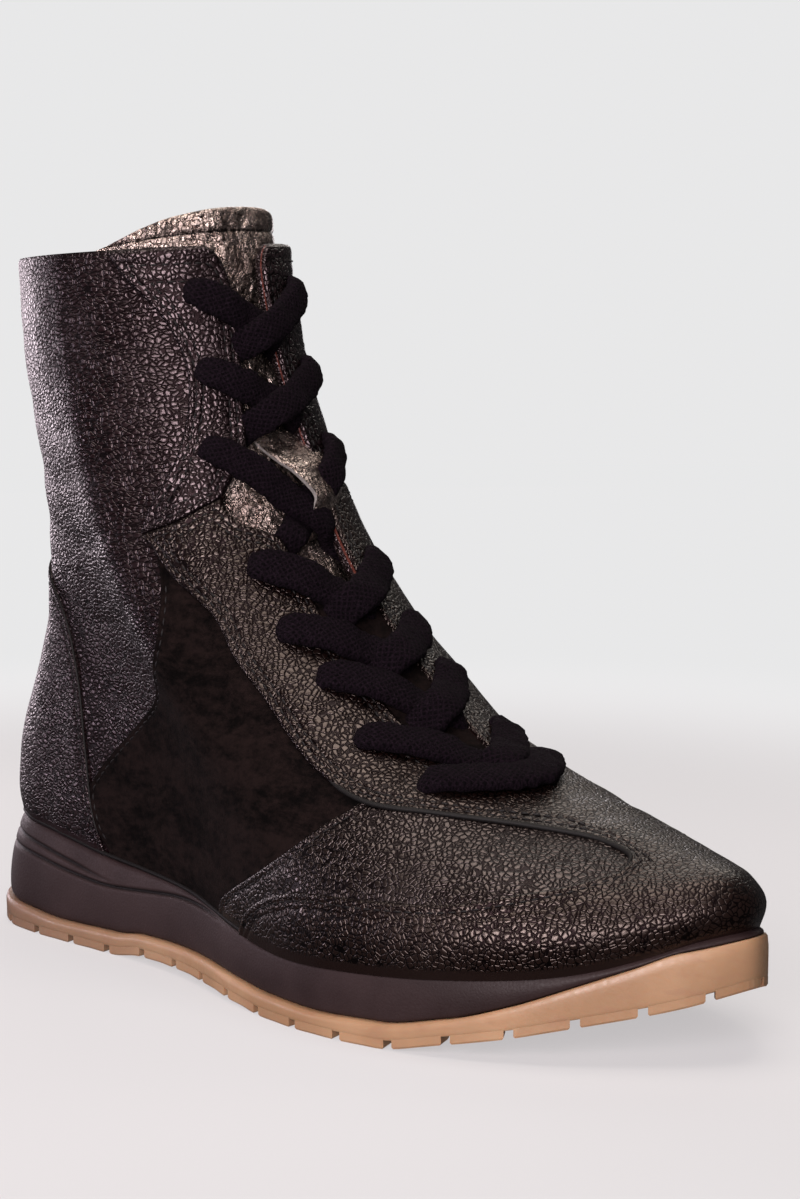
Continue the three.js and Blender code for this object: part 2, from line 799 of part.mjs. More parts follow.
const lastRow = holeRows[holeRows.length - 1];
const barPlaces = Array.from({ length: laceSteps + 1 }, (_, i) => {
  const t = i / laceSteps;
  return [mix(lastRow.outer, lastRow.inner, t), lastRow.ring, laceRest(lastRow) + Math.sin(Math.PI * t)];
});
addPiece('lace_bar', strap(barPlaces, laceWidth, laceThickness), colours.lace, 0.95);

export default boot;
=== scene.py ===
"""The dressed high-top boot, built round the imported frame, in millimetres until a mesh is made."""

import math

import bpy
import numpy as np
from mathutils import Matrix, Vector


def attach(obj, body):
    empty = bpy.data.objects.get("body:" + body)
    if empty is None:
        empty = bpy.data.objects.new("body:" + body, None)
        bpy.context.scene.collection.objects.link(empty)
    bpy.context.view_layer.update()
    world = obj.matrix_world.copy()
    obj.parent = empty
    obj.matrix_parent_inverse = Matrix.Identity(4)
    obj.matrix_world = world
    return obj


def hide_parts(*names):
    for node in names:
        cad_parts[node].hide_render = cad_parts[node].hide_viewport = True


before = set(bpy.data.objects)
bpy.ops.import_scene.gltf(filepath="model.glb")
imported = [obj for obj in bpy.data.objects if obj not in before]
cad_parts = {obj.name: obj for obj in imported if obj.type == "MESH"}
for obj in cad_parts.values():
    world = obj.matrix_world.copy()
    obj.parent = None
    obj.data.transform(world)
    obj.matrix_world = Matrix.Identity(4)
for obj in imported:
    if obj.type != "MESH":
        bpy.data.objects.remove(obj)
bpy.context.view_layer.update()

MM = 0.001

# The last's driving sizes, as in the part
LENGTH = 282.0
BALL_WIDTH = 98.0
HEEL_WIDTH = 64.0
SHAFT_WIDTH = 66.0
INSTEP = 98.0
COLLAR = 207.0
THROAT_WIDTH = 18.0
HEEL_BACK = -0.135 * LENGTH
GAP = 0.3
WALL = 2.0

OUTLINE = np.array([
    [0.0, 0.0, 0.0], [0.007, 0.17, 0.17], [0.025, 0.32, 0.32], [0.06, 0.42, 0.43],
    [0.12, 0.465, 0.5], [0.2, 0.475, 0.51], [0.29, 0.485, 0.47], [0.38, 0.478, 0.395],
    [0.5, 0.469, 0.352], [0.59, 0.5, 0.43], [0.66, 0.505, 0.48], [0.74, 0.47, 0.51],
    [0.82, 0.388, 0.485], [0.89, 0.268, 0.42], [0.95, 0.115, 0.318], [0.985, -0.004, 0.208],
    [1.0, -0.1, 0.1]])

PROFILE_COLUMNS = ["station", "lift", "spring", "outsole", "bumper", "heel", "toe_rise"]
PROFILE = np.array([
    [0.0, 1.0, 0, 1.0, 0.08, 1.0, 0], [0.04, 0.25, 0, 1.0, 0.05, 0.98, 0],
    [0.08, 0, 0, 1.0, 0.02, 0.94, 0], [0.16, 0, 0, 0.86, 0, 0.78, 0],
    [0.25, 0, 0, 0.92, 0, 0.56, 0], [0.3, 0.9, 0, 0.88, 0, 0.5, 0],
    [0.36, 1.0, 0, 0.9, 0, 0.44, 0], [0.43, 0.9, 0, 0.92, 0, 0.3, 0],
    [0.5, 0.45, 0, 0.92, 0, 0.15, 0], [0.56, 0, 0, 0.92, 0, 0.02, 0],
    [0.63, 0, 0, 0.86, 0, 0, 0.01], [0.71, 0, 0, 0.96, 0, 0, 0.06],
    [0.78, 0, 0.17, 0.95, 0, 0, 0.125], [0.84, 0, 0.34, 0.9, 0.15, 0, 0.2],
    [0.89, 0, 0.52, 0.75, 0.4, 0, 0.32], [0.93, 0, 0.66, 0.45, 0.72, 0, 0.5],
    [0.965, 0, 0.8, 0.15, 1.0, 0, 0.73], [1.0, 0, 1.0, 0, 1.0, 0, 0.86]])
OUTSOLE_THICKNESS = 7.0
BUMPER_HEIGHT = 13.5
TOE_SPRING = 20.0
ARCH_LIFT = 2.0
HEEL_STACK = 35.0
FOREFOOT_STACK = 18.5
LEDGE = 1.4

SECTION_COLUMNS = ["back", "back_level", "front", "front_level", "dip", "heel", "waist", "ball", "toe",
                   "swing", "shaft"]
SECTIONS = np.array([
    [0.032, 0.35, 0.98, 0.35, 1.0, 0.87, 0.93, 0.95, 0.95, 1.0, 0],
    [0.027, 0.45, 0.987, 0.42, 0.85, 0.9, 0.97, 0.98, 0.98, 1.0, 0],
    [0.03, 0.57, 0.972, 0.48, 0.65, 0.88, 0.96, 0.95, 0.92, 1.0, 0],
    [0.043, 0.69, 0.928, 0.54, 0.5, 0.86, 0.94, 0.87, 0.82, 1.0, 0],
    [0.06, 0.81, 0.851, 0.6, 0.35, 0.82, 0.92, 0.79, 0.72, 0.9, 0],
    [0.074, 0.92, 0.762, 0.65, 0.2, 0.79, 0.9, 0.74, 0.72, 0.8, 0],
    [0.085, 1.02, 0.674, 0.72, 0.1, 0.77, 0.9, 0.72, 0.78, 0.7, 0],
    [0.087, 1.13, 0.585, 0.87, 0, 0.77, 0.91, 0.71, 0.82, 0.7, 0.15],
    [0.086, 1.26, 0.507, 1.06, 0, 0.78, 0.94, 0.7, 0.82, 0.6, 0.35],
    [0.081, 1.4, 0.444, 1.27, 0, 0.81, 0.98, 0.69, 0.8, 0.5, 0.6],
    [0.064, 1.58, 0.398, 1.52, 0, 0.84, 1.0, 0.68, 0.78, 0.4, 0.8],
    [0.049, 1.78, 0.368, 1.77, 0, 0.86, 1.0, 0.67, 0.76, 0.3, 1.0],
    [0.045, 1.97, 0.35, 2.02, 0, 0.87, 1.0, 0.66, 0.74, 0.3, 1.0],
    [0.042, 2.1, 0.343, 2.17, 0, 0.87, 1.0, 0.66, 0.74, 0.3, 1.0]])
COLLAR_RING = 12.0
WIDTH_STATIONS = [0.12, 0.42, 0.68, 0.9]
SHAFT_ROUNDNESS = 2.25


def mix(a, b, t):
    return a + (b - a) * t


def step(low, high, value):
    t = np.clip((value - low) / (high - low), 0, 1)
    return t * t * (3 - 2 * t)


def unit(vectors):
    """The vectors at length one, along the last axis."""
    return vectors / np.maximum(np.linalg.norm(vectors, axis=-1, keepdims=True), 1e-9)


def run_lengths(points):
    """How far along a line of points each point lies."""
    return np.concatenate([[0], np.cumsum(np.linalg.norm(np.diff(points, axis=0), axis=1))])


def smooth(at, value, q):
    """A column read between its rows by a cubic that doesn't overshoot."""
    at = np.asarray(at, float)
    value = np.asarray(value, float)
    steps = np.diff(value) / np.diff(at)
    before, after = steps[:-1], steps[1:]
    total = np.where(before + after == 0, 1, before + after)
    inner = np.where(before * after <= 0, 0, 2 * before * after / total)
    slope = np.concatenate([steps[:1], inner, steps[-1:]])
    q = np.asarray(q, float)
    i = np.clip(np.searchsorted(at, q, side="right") - 1, 0, len(at) - 2)
    span = at[i + 1] - at[i]
    t = np.clip((q - at[i]) / span, 0, 1)
    start = value[i] * (1 + 2 * t) + slope[i] * span * t
    end = value[i + 1] * (3 - 2 * t) - slope[i + 1] * span * (1 - t)
    return start * (1 - t) ** 2 + end * t ** 2


def width_at(s):
    return mix(HEEL_WIDTH, BALL_WIDTH, step(0.3, 0.55, s))


def profile(name, s):
    return smooth(PROFILE[:, 0], PROFILE[:, PROFILE_COLUMNS.index(name)], s)


def x_of(s):
    return HEEL_BACK + s * LENGTH


def station_of(x):
    return (x - HEEL_BACK) / LENGTH


def sole_bottom(s):
    return ARCH_LIFT * profile("lift", s) + TOE_SPRING * profile("spring", s)


def outsole_top(s):
    return sole_bottom(s) + OUTSOLE_THICKNESS * profile("outsole", s) + BUMPER_HEIGHT * profile("bumper", s)


def midsole_top(s):
    return mix(FOREFOOT_STACK, HEEL_STACK, profile("heel", s)) + TOE_SPRING * profile("toe_rise", s)


def level_height(level):
    level = np.asarray(level, float)
    return np.where(level <= 1, level * INSTEP, INSTEP + (level - 1) * (COLLAR - INSTEP))


def seat_chord(s):
    return mix(midsole_top(0.0), midsole_top(1.0), s)


RING_BACK = level_height(SECTIONS[:, 1])
RING_FRONT = level_height(SECTIONS[:, 3])
RING_BACK[0] = seat_chord(SECTIONS[0, 0]) + GAP
RING_FRONT[0] = seat_chord(SECTIONS[0, 2]) + GAP
RING_NUMBERS = np.arange(len(SECTIONS))


def spline(x0, x1, x2, x3, w):
    """The centripetal spline between the middle two of four points, at shares of the way."""
    d0, d1, d2 = [np.maximum(np.linalg.norm(b - a, axis=-1, keepdims=True), 1e-8) ** 0.5
                  for a, b in ((x0, x1), (x1, x2), (x2, x3))]
    t1 = ((x1 - x0) / d0 - (x2 - x0) / (d0 + d1) + (x2 - x1) / d1) * d1
    t2 = ((x2 - x1) / d1 - (x3 - x1) / (d1 + d2) + (x3 - x2) / d2) * d1
    c2 = -3 * x1 + 3 * x2 - 2 * t1 - t2
    c3 = 2 * x1 - 2 * x2 + t1 + t2
    return x1 + t1 * w + c2 * w ** 2 + c3 * w ** 3


def closed_curve(controls, us):
    """A closed spline through the controls, at shares of its whole."""
    count = len(controls)
    p = (np.asarray(us, float) % 1) * count
    i = np.floor(p).astype(int)
    return spline(*[controls[(i + k) % count] for k in (-1, 0, 1, 2)], (p - i)[:, None])


def open_curve(knots, per_span):
    """An open spline through the knots, as points."""
    knots = np.asarray(knots, float)
    spans = len(knots) - 1
    padded = np.vstack([2 * knots[0] - knots[1], knots, 2 * knots[-1] - knots[-2]])
    i = np.repeat(np.arange(spans), per_span)
    w = np.tile(np.arange(per_span) / per_span, spans)[:, None]
    return np.vstack([spline(*[padded[i + k] for k in range(4)], w), knots[-1]])


def both_sides(x, outer, inner, height):
    """Controls of a closed loop: the outer side to the toe, then the inner side back."""
    return np.vstack([np.stack([x, outer, height], 1), np.stack([x, inner, height], 1)[1:-1][::-1]])


def ring_controls(ring):
    row = {name: float(smooth(RING_NUMBERS, SECTIONS[:, k], ring)) for k, name in enumerate(SECTION_COLUMNS)}
    back_height = float(smooth(RING_NUMBERS, RING_BACK, ring))
    front_height = float(smooth(RING_NUMBERS, RING_FRONT, ring))
    s = OUTLINE[:, 0]
    share = smooth(WIDTH_STATIONS, [row["heel"], row["waist"], row["ball"], row["toe"]], s)
    foot_half = 0.5 * (OUTLINE[:, 1] + OUTLINE[:, 2]) * width_at(s) * share
    across = np.abs(2 * s - 1)
    oval = 0.5 * SHAFT_WIDTH * np.maximum(1 - across ** SHAFT_ROUNDNESS, 0) ** (1 / SHAFT_ROUNDNESS)
    half = mix(foot_half, oval, row["shaft"])
    middle = 0.5 * (OUTLINE[:, 2] - OUTLINE[:, 1]) * width_at(s) * row["swing"]
    along = mix(row["back"], row["front"], s)
    height = mix(back_height, front_height, s) - row["dip"] * (seat_chord(along) - midsole_top(along))
    return both_sides(x_of(along), middle - half, middle + half, height)


def skin(us, ring):
    return closed_curve(ring_controls(ring), us)


def sheet_normals(sheet):
    """The normals of a sheet of closed rows."""
    return unit(np.cross(np.roll(sheet, -1, 1) - np.roll(sheet, 1, 1), np.gradient(sheet, axis=0)))


TABLE_U = 720
TABLE_STEP = 0.05
TABLE_RINGS = np.arange(0, 13.001, TABLE_STEP)
skin_table = np.array([skin(np.arange(TABLE_U) / TABLE_U, r) for r in TABLE_RINGS])
table_normal = sheet_normals(skin_table)


def skin_at(u, ring, offset=0.0):
    """Points over the skin, and the skin's normals there."""
    u, ring, offset = [np.asarray(v, float) for v in np.broadcast_arrays(u, ring, offset)]
    across = (u % 1) * TABLE_U
    i = np.floor(across).astype(int) % TABLE_U
    j = (i + 1) % TABLE_U
    a = (across - np.floor(across))[..., None]
    up = np.clip(ring / TABLE_STEP, 0, len(TABLE_RINGS) - 1.001)
    k = np.floor(up).astype(int)
    b = (up - k)[..., None]
    point, normal = [mix(mix(t[k, i], t[k, j], a), mix(t[k + 1, i], t[k + 1, j], a), b)
                     for t in (skin_table, table_normal)]
    normal = unit(normal)
    return point + normal * offset[..., None], normal


# The fine grid over the whole skin
COLUMNS = 500
ROWS = 190


def even_shares(points, count, closed):
    """Places along a line of points, at equal steps of length."""
    lengths = run_lengths(points)
    targets = np.linspace(0, lengths[-1], count, endpoint=not closed)
    return np.interp(targets, lengths, np.linspace(0, 1, len(points)))


GUIDE_RING = 1.5
column_u = even_shares(skin(np.linspace(0, 1, 2001), GUIDE_RING), COLUMNS, True)
ladder = np.array([skin([0.15, 0.3, 0.5], r).ravel() for r in np.linspace(0, COLLAR_RING, 241)])
row_ring = even_shares(ladder, ROWS, False) * COLLAR_RING
grid = np.array([skin(column_u, r) for r in row_ring])

POS = grid.reshape(-1, 3)
NRM = sheet_normals(grid).reshape(-1, 3)
GRID_RING = np.repeat(row_ring, COLUMNS)
STATION = station_of(POS[:, 0])
LEVEL = np.where(POS[:, 2] <= INSTEP, POS[:, 2] / INSTEP, 1 + (POS[:, 2] - INSTEP) / (COLLAR - INSTEP))
here = np.arange(ROWS * COLUMNS).reshape(ROWS, COLUMNS)
beside = np.roll(here, -1, 1)
TRIS = np.concatenate([
    np.stack([here[:-1], beside[:-1], beside[1:]], 2).reshape(-1, 3),
    np.stack([here[:-1], beside[1:], here[1:]], 2).reshape(-1, 3)])

# Millimetres along the skin for one ring, by the feather line and by the collar
RING_BY_FEATHER = 12.0
RING_BY_COLLAR = 11.0
FEATHER = GRID_RING * RING_BY_FEATHER


def side_line(knots, per_span=8):
    """A smooth line of the side view, from knots of station and level."""
    points = np.array([[x_of(s), float(level_height(level))] for s, level in knots])
    return open_curve(points, per_span)


def segment_away(points, a, b):
    """From the nearest place of a segment to each point."""
    edge = b - a
    t = np.clip(((points - a) @ edge) / max(edge @ edge, 1e-12), 0, 1)
    return points - (a + t[:, None] * edge)


def polygon_distance(points, polygon):
    """Signed distance to a closed polygon, more than 0 inside, and its direction."""
    best = np.full(len(points), 1e9)
    grad = np.zeros((len(points), 2))
    inside = np.zeros(len(points), bool)
    for a, b in zip(polygon, np.roll(polygon, -1, 0)):
        away = segment_away(points, a, b)
        dist = np.hypot(away[:, 0], away[:, 1])
        closer = dist < best
        best = np.where(closer, dist, best)
        grad[closer] = away[closer] / np.maximum(dist[closer], 1e-9)[:, None]
        crosses = (a[1] > points[:, 1]) != (b[1] > points[:, 1])
        if crosses.any():
            inside ^= crosses & (points[:, 0] < a[0] + (points[:, 1] - a[1]) * (b[0] - a[0]) / (b[1] - a[1]))
    sign = np.where(inside, 1, -1)
    return best * sign, grad * -sign[:, None]


def surface_distance(flat, grad, axes):
    """A flat view's distance, stretched to the length along the skin."""
    toward = grad[:, 0] * NRM[:, axes[0]] + grad[:, 1] * NRM[:, axes[1]]
    return flat / np.sqrt(np.maximum(1 - toward ** 2, 0.12))


# On the inner side the toe's seams lie a little lower
INNER_DROP = 6.0
side_view = POS[:, [0, 2]].copy()
side_view[:, 1] += INNER_DROP * step(-2, 14, POS[:, 1]) * step(0.66, 0.84, STATION)


def side_field(lines, corners):
    """Distance into an outline of the side view, from smooth lines and corners of station and height."""
    polygon = np.vstack([*lines, [[x_of(s), height] for s, height in corners]])
    flat, grad = polygon_distance(side_view, polygon)
    return surface_distance(flat, grad, (0, 2))


# The throat from the front
THROAT = [[0.68, 0.22, 0.3], [0.7, -0.18, 0.46], [0.76, -0.4, 0.52], [0.9, -0.46, 0.58], [1.18, -0.44, 0.56],
          [1.26, -0.5, 0.56], [1.3, -0.96, 0.58], [1.35, -1.08, 0.6], [1.4, -0.92, 0.6],
          [1.46, -0.62, 0.58], [1.6, -0.44, 0.46], [1.8, -0.32, 0.34],
          [2.4, -0.22, 0.26]]


outer, inner = [open_curve([[row[k] * THROAT_WIDTH, float(level_height(row[0]))] for row in THROAT], 5)
                for k in (1, 2)]
flat, grad = polygon_distance(POS[:, [1, 2]], np.vstack([outer, inner[::-1]]))
throat = np.where(STATION > 0.22, surface_distance(-flat, -grad, (1, 2)), 60.0)

# Lines of the side view, as station and level
EYESTAY_EDGE = [[0.34, 1.24], [0.366, 1.17], [0.426, 1.06], [0.457, 0.965], [0.502, 0.86], [0.547, 0.75],
                [0.594, 0.67], [0.647, 0.615], [0.713, 0.595], [0.787, 0.57], [0.856, 0.536], [0.884, 0.512],
                [0.89, 0.497]]
MUDGUARD_EDGE = [[0.888, 0.482], [0.867, 0.458], [0.82, 0.428], [0.777, 0.405], [0.7, 0.395], [0.616, 0.385],
                 [0.568, 0.348], [0.53, 0.29], [0.505, 0.2], [0.5, 0.05]]
LAP_LINE = [[0.325, 1.262], [0.365, 1.305], [0.401, 1.385]]
FACING_EDGE = [[0.24, 2.1], [0.277, 1.95], [0.318, 1.83], [0.341, 1.7], [0.35, 1.55], [0.347, 1.44],
               [0.331, 1.33], [0.325, 1.262]]
COUNTER_EDGE = [[0.235, 0.05], [0.23, 0.3], [0.212, 0.44], [0.199, 0.61], [0.181, 0.81], [0.153, 1.0],
                [0.12, 1.1], [0.07, 1.2], [-0.02, 1.28]]
SADDLE_REAR = [[0.34, 1.26], [0.355, 1.16], [0.362, 1.07], [0.362, 0.98], [0.338, 0.83], [0.296, 0.73],
               [0.257, 0.64], [0.223, 0.55], [0.208, 0.49], [0.219, 0.38], [0.241, 0.29], [0.245, 0.0]]
LEAF_REAR = [[0.452, 0.05], [0.455, 0.2], [0.466, 0.275], [0.495, 0.33], [0.525, 0.375], [0.56, 0.43],
             [0.592, 0.49], [0.626, 0.575], [0.66, 0.66]]

lap = side_line(LAP_LINE)
vamp_side = side_field([lap[::-1], side_line(EYESTAY_EDGE), side_line(MUDGUARD_EDGE)],
                       [(1.1, 0.0), (1.1, 150.0)])
facing_side = side_field([side_line(FACING_EDGE), lap], [(0.6, 150.0), (0.6, 260.0), (0.24, 260.0)])
counter_field = side_field([side_line(COUNTER_EDGE)], [(-0.1, 120.0), (-0.1, -5.0), (0.235, -5.0)])
saddle_field = side_field([side_line(SADDLE_REAR)], [(0.56, 0.0), (0.7, 65.0), (0.4, 130.0)])
leaf_field = side_field([side_line(LEAF_REAR)], [(0.93, 66.0), (0.93, 5.0), (0.452, 0.0)])


def rounded(a, b, radius):
    """The smaller of two distances, with a round corner where both are small."""
    corner = radius - np.hypot(np.maximum(radius - a, 0), np.maximum(radius - b, 0))
    return np.where((a < radius) & (b < radius), corner, np.minimum(a, b))


collar_field = (COLLAR_RING - GRID_RING) * RING_BY_COLLAR
corner_radius = np.where(POS[:, 1] < 0, 9.0, 4.5)
opening = rounded(throat, collar_field + 0.02, corner_radius)
vamp_field = np.minimum(vamp_side, throat - 0.4)
facing_field = np.minimum(facing_side, opening - 0.2)


# Meshes
def edge_keys(a, b):
    """One number for each edge, the same from both ends."""
    return np.minimum(a, b).astype(np.int64) * len(POS) * 2 + np.maximum(a, b)


class Patch:
    """A sheet of triangles with a point, a normal and named numbers at each corner."""

    def __init__(self, pos, nrm, tris, values):
        self.pos, self.nrm, self.tris, self.values = pos, nrm, tris, values

    def split(self, name, level):
        """Cuts the triangles along a level of one of the numbers."""
        value = self.values[name] - level
        value = np.where(np.abs(value) < 1e-5, 1e-5, value)
        side = value[self.tris] > 0
        mixed = side.any(1) & ~side.all(1)
        whole = self.tris[~mixed]
        made = {}
        ends = []
        shares = []
        count = len(self.pos)
        pieces = []

        def cut(a, b):
            key = (a, b) if a < b else (b, a)
            if key not in made:
                made[key] = count + len(ends)
                ends.append(key)
                shares.append(value[key[0]] / (value[key[0]] - value[key[1]]))
            return made[key]

        for tri in self.tris[mixed]:
            up = [value[v] > 0 for v in tri]
            lone = up.index(True) if sum(up) == 1 else up.index(False)
            a, b, c = (int(tri[(lone + k) % 3]) for k in range(3))
            ab, ac = cut(a, b), cut(a, c)
            pieces += [(a, ab, ac), (ab, b, c), (ab, c, ac)]
        if not ends:
            return self
        ends = np.array(ends)
        t = np.array(shares)[:, None]

        def grown(array):
            flat = array if array.ndim == 2 else array[:, None]
            extra = flat[ends[:, 0]] * (1 - t) + flat[ends[:, 1]] * t
            both = np.vstack([flat, extra])
            return both if array.ndim == 2 else both[:, 0]

        values = {key: grown(array) for key, array in self.values.items()}
        values[name][count:] = level
        return Patch(grown(self.pos), grown(self.nrm), np.vstack([whole, np.array(pieces)]), values)

    def keep(self, mask):
        """Only the triangles of the mask, and the corners that they use."""
        tris = self.tris[mask]
        used, flat = np.unique(tris, return_inverse=True)
        values = {key: array[used] for key, array in self.values.items()}
        return Patch(self.pos[used], self.nrm[used], flat.reshape(-1, 3), values)

    def rim(self):
        """The directed edges that only one triangle uses."""
        edges = np.concatenate([self.tris[:, [0, 1]], self.tris[:, [1, 2]], self.tris[:, [2, 0]]])
        _, back, count = np.unique(edge_keys(*edges.T), return_inverse=True, return_counts=True)
        return edges[count[back] == 1]


def cut_patch(field, levels, covered=None, reach=3.0):
    """The skin where a field is above 0, cut along its levels, and left out well under what covers it."""
    values = {"edge": field, "station": STATION, "feather": FEATHER}
    if covered is not None:
        values["covered"] = covered
    patch = Patch(POS, NRM, TRIS, values).keep((field[TRIS] > 0).any(1)).split("edge", 0.0)
    patch = patch.keep(patch.values["edge"][patch.tris].mean(1) > 0)
    for level in levels:
        patch = patch.split("edge", level)
    if covered is not None:
        patch = patch.keep(patch.values["covered"][patch.tris].min(1) < reach)
    return patch


def add_object(name, data):
    obj = bpy.data.objects.new(name, data)
    bpy.context.scene.collection.objects.link(obj)
    return obj


def make_object(name, points, faces, material, values=None, smooth_shade=True):
    mesh = bpy.data.meshes.new(name)
    mesh.from_pydata((np.asarray(points) * MM).tolist(), [], [tuple(int(v) for v in f) for f in faces])
    mesh.update()
    for key, array in (values or {}).items():
        attribute = mesh.attributes.new(key, "FLOAT", "POINT")
        attribute.data.foreach_set("value", np.asarray(array, np.float32))
    if smooth_shade:
        mesh.polygons.foreach_set("use_smooth", [True] * len(mesh.polygons))
    mesh.materials.append(material)
    return add_object(name, mesh)


def dress(obj, slot, *nodes):
    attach(obj, "root")
    if nodes:
        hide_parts(*nodes)
    return obj


def noise3(points, size, seed):
    """Smooth noise from a sum of turned waves, from about -1 to 1."""
    local = np.random.default_rng(seed)
    total = np.zeros(len(points))
    for _ in range(9):
        direction = local.normal(size=3)
        direction /= np.linalg.norm(direction)
        wave = 2 * math.pi / (size * local.uniform(0.7, 1.5))
        total += np.sin(points @ direction * wave + local.uniform(0, 2 * math.pi))
    return total / 4.5


def sheet_object(name, patch, base, thickness, material, skirt_to, relief, rim_radius):
    """A panel that lies over the skin, rounded at its edge, with a skirt down its rim."""
    edge = patch.values["edge"]
    share = np.clip(edge / rim_radius, 0, 1)
    height = base + thickness * (0.45 + 0.55 * np.sqrt(1 - (1 - share) ** 2)) + relief(patch)
    top = patch.pos + patch.nrm * height[:, None]
    rim = patch.rim()
    rim = rim[(edge[rim] < 0.05).all(1)]
    used, flat = np.unique(rim, return_inverse=True)
    low = patch.pos[used] + patch.nrm[used] * skirt_to
    skirt = [(b, a, len(top) + fa, len(top) + fb) for (a, b), (fa, fb) in zip(rim, flat.reshape(-1, 2))]
    values = {key: np.concatenate([patch.values[key], patch.values[key][used]])
              for key in ("edge", "station", "feather")}
    values["rim"] = np.repeat([0.0, 1.0], [len(top), len(used)])
    return make_object(name, np.vstack([top, low]), list(patch.tris) + skirt, material, values)


SHORTEST_LINE = 8.0


def iso_lines(field, level, mask=None):
    """The lines on the skin where a field has one value, as points with their normals."""
    value = field - level
    value = np.where(np.abs(value) < 1e-6, 1e-6, value)
    positive = value[TRIS] > 0
    mixed = positive.any(1) & ~positive.all(1)
    if mask is not None:
        mixed &= mask[TRIS].all(1)
    corners = TRIS[mixed].T
    cuts = [np.where((value[a] > 0) != (value[b] > 0), edge_keys(a, b), -1)
            for a, b in zip(corners, np.roll(corners, -1, 0))]
    pairs = np.sort(np.stack(cuts, 1), axis=1)[:, 1:]
    keys, links = np.unique(pairs, return_inverse=True)
    low, high = np.divmod(keys, len(POS) * 2)
    share = (value[low] / (value[low] - value[high]))[:, None]
    points = POS[low] * (1 - share) + POS[high] * share
    normals = NRM[low] * (1 - share) + NRM[high] * share
    beside = {}
    for a, b in links.reshape(-1, 2).tolist():
        beside.setdefault(a, []).append(b)
        beside.setdefault(b, []).append(a)
    seen = set()
    lines = []
    starts = sorted(k for k, ends in beside.items() if len(ends) == 1) + sorted(beside)
    for start in starts:
        if start in seen:
            continue
        chain = [start]
        seen.add(start)
        while True:
            ahead = [k for k in beside[chain[-1]] if k not in seen]
            if not ahead:
                break
            chain.append(ahead[0])
            seen.add(ahead[0])
        if len(chain) > 3 and run_lengths(points[chain])[-1] > SHORTEST_LINE:
            lines.append((points[chain], normals[chain]))
    return lines


def tube_rings(points, normals, radii, sides):
    """Rings round a line of points, as one array."""
    along = unit(np.gradient(points, axis=0))
    side = unit(np.cross(along, normals))
    up = np.cross(side, along)
    angle = np.linspace(0, 2 * math.pi, sides, endpoint=False)
    ring = side[:, None] * np.cos(angle)[None, :, None] + up[:, None] * np.sin(angle)[None, :, None]
    return points[:, None] + ring * np.reshape(radii, (-1, 1, 1))


def loop_faces(loops, count, base=0):
    """Faces between closed loops of points."""
    faces = []
    for low in range(base, base + (loops - 1) * count, count):
        for i in range(count):
            j = (i + 1) % count
            faces.append((low + i, low + j, low + count + j, low + count + i))
    return faces


def tube_faces(base, rings, sides):
    """Faces round a tube, and its two ends."""
    last = base + (rings - 1) * sides
    ends = [tuple(range(base, base + sides))[::-1], tuple(range(last, last + sides))]
    return loop_faces(rings, sides, base) + ends


def tubes_object(name, tubes, material, slot, smooth_shade=True):
    """Closed tubes as one object, each given by its rings."""
    points = []
    faces = []
    for rings in tubes:
        faces += tube_faces(len(points), len(rings), len(rings[0]))
        points += [point for ring in rings for point in ring]
    return dress(make_object(name, np.array(points), faces, material, None, smooth_shade), slot)


def walk(line, normals, at):
    """Places and normals at lengths along a line."""
    lengths = run_lengths(line)
    return [np.stack([np.interp(at, lengths, column) for column in values.T], 1)
            for values in (line, normals)]


STITCH_PITCH = 3.1
STITCH_LENGTH = 2.3
STITCH_RADIUS = 0.32
STITCH_SIDES = 6
STITCH_STEPS = 5
STITCH_SINK = 0.12
STITCH_BOW = 0.2


def stitch_object(name, lines, height, slot):
    """Separate stitches along lines on the skin, at a height over it."""
    shares = np.linspace(-0.5, 0.5, STITCH_STEPS)
    bow = np.cos(shares * math.pi)
    tubes = []
    for line, normals in lines:
        for middle in np.arange(STITCH_PITCH, run_lengths(line)[-1] - STITCH_PITCH, STITCH_PITCH):
            place, normal = walk(line, normals, middle + shares * STITCH_LENGTH)
            place = place + normal * (height - STITCH_SINK + STITCH_BOW * bow)[:, None]
            tubes.append(tube_rings(place, normal, STITCH_RADIUS * (0.45 + 0.55 * bow), STITCH_SIDES))
    return tubes_object(name, tubes, thread_material, slot)


BEAD_STEP = 1.5
BEAD_SIDES = 8
BEAD_TAPER = 6.0


def bead_object(name, lines, height, radius, slot):
    """A rolled edge that follows lines on the skin."""
    tubes = []
    for line, normals in lines:
        whole = run_lengths(line)[-1]
        at = np.linspace(0, whole, max(4, int(whole / BEAD_STEP)))
        place, normal = walk(line, normals, at)
        taper = np.minimum(1, np.minimum(at, whole - at) / BEAD_TAPER + 0.25)
        tubes.append(tube_rings(place + normal * height, normal, radius * taper, BEAD_SIDES))
    return tubes_object(name, tubes, dark_edge_material, slot)


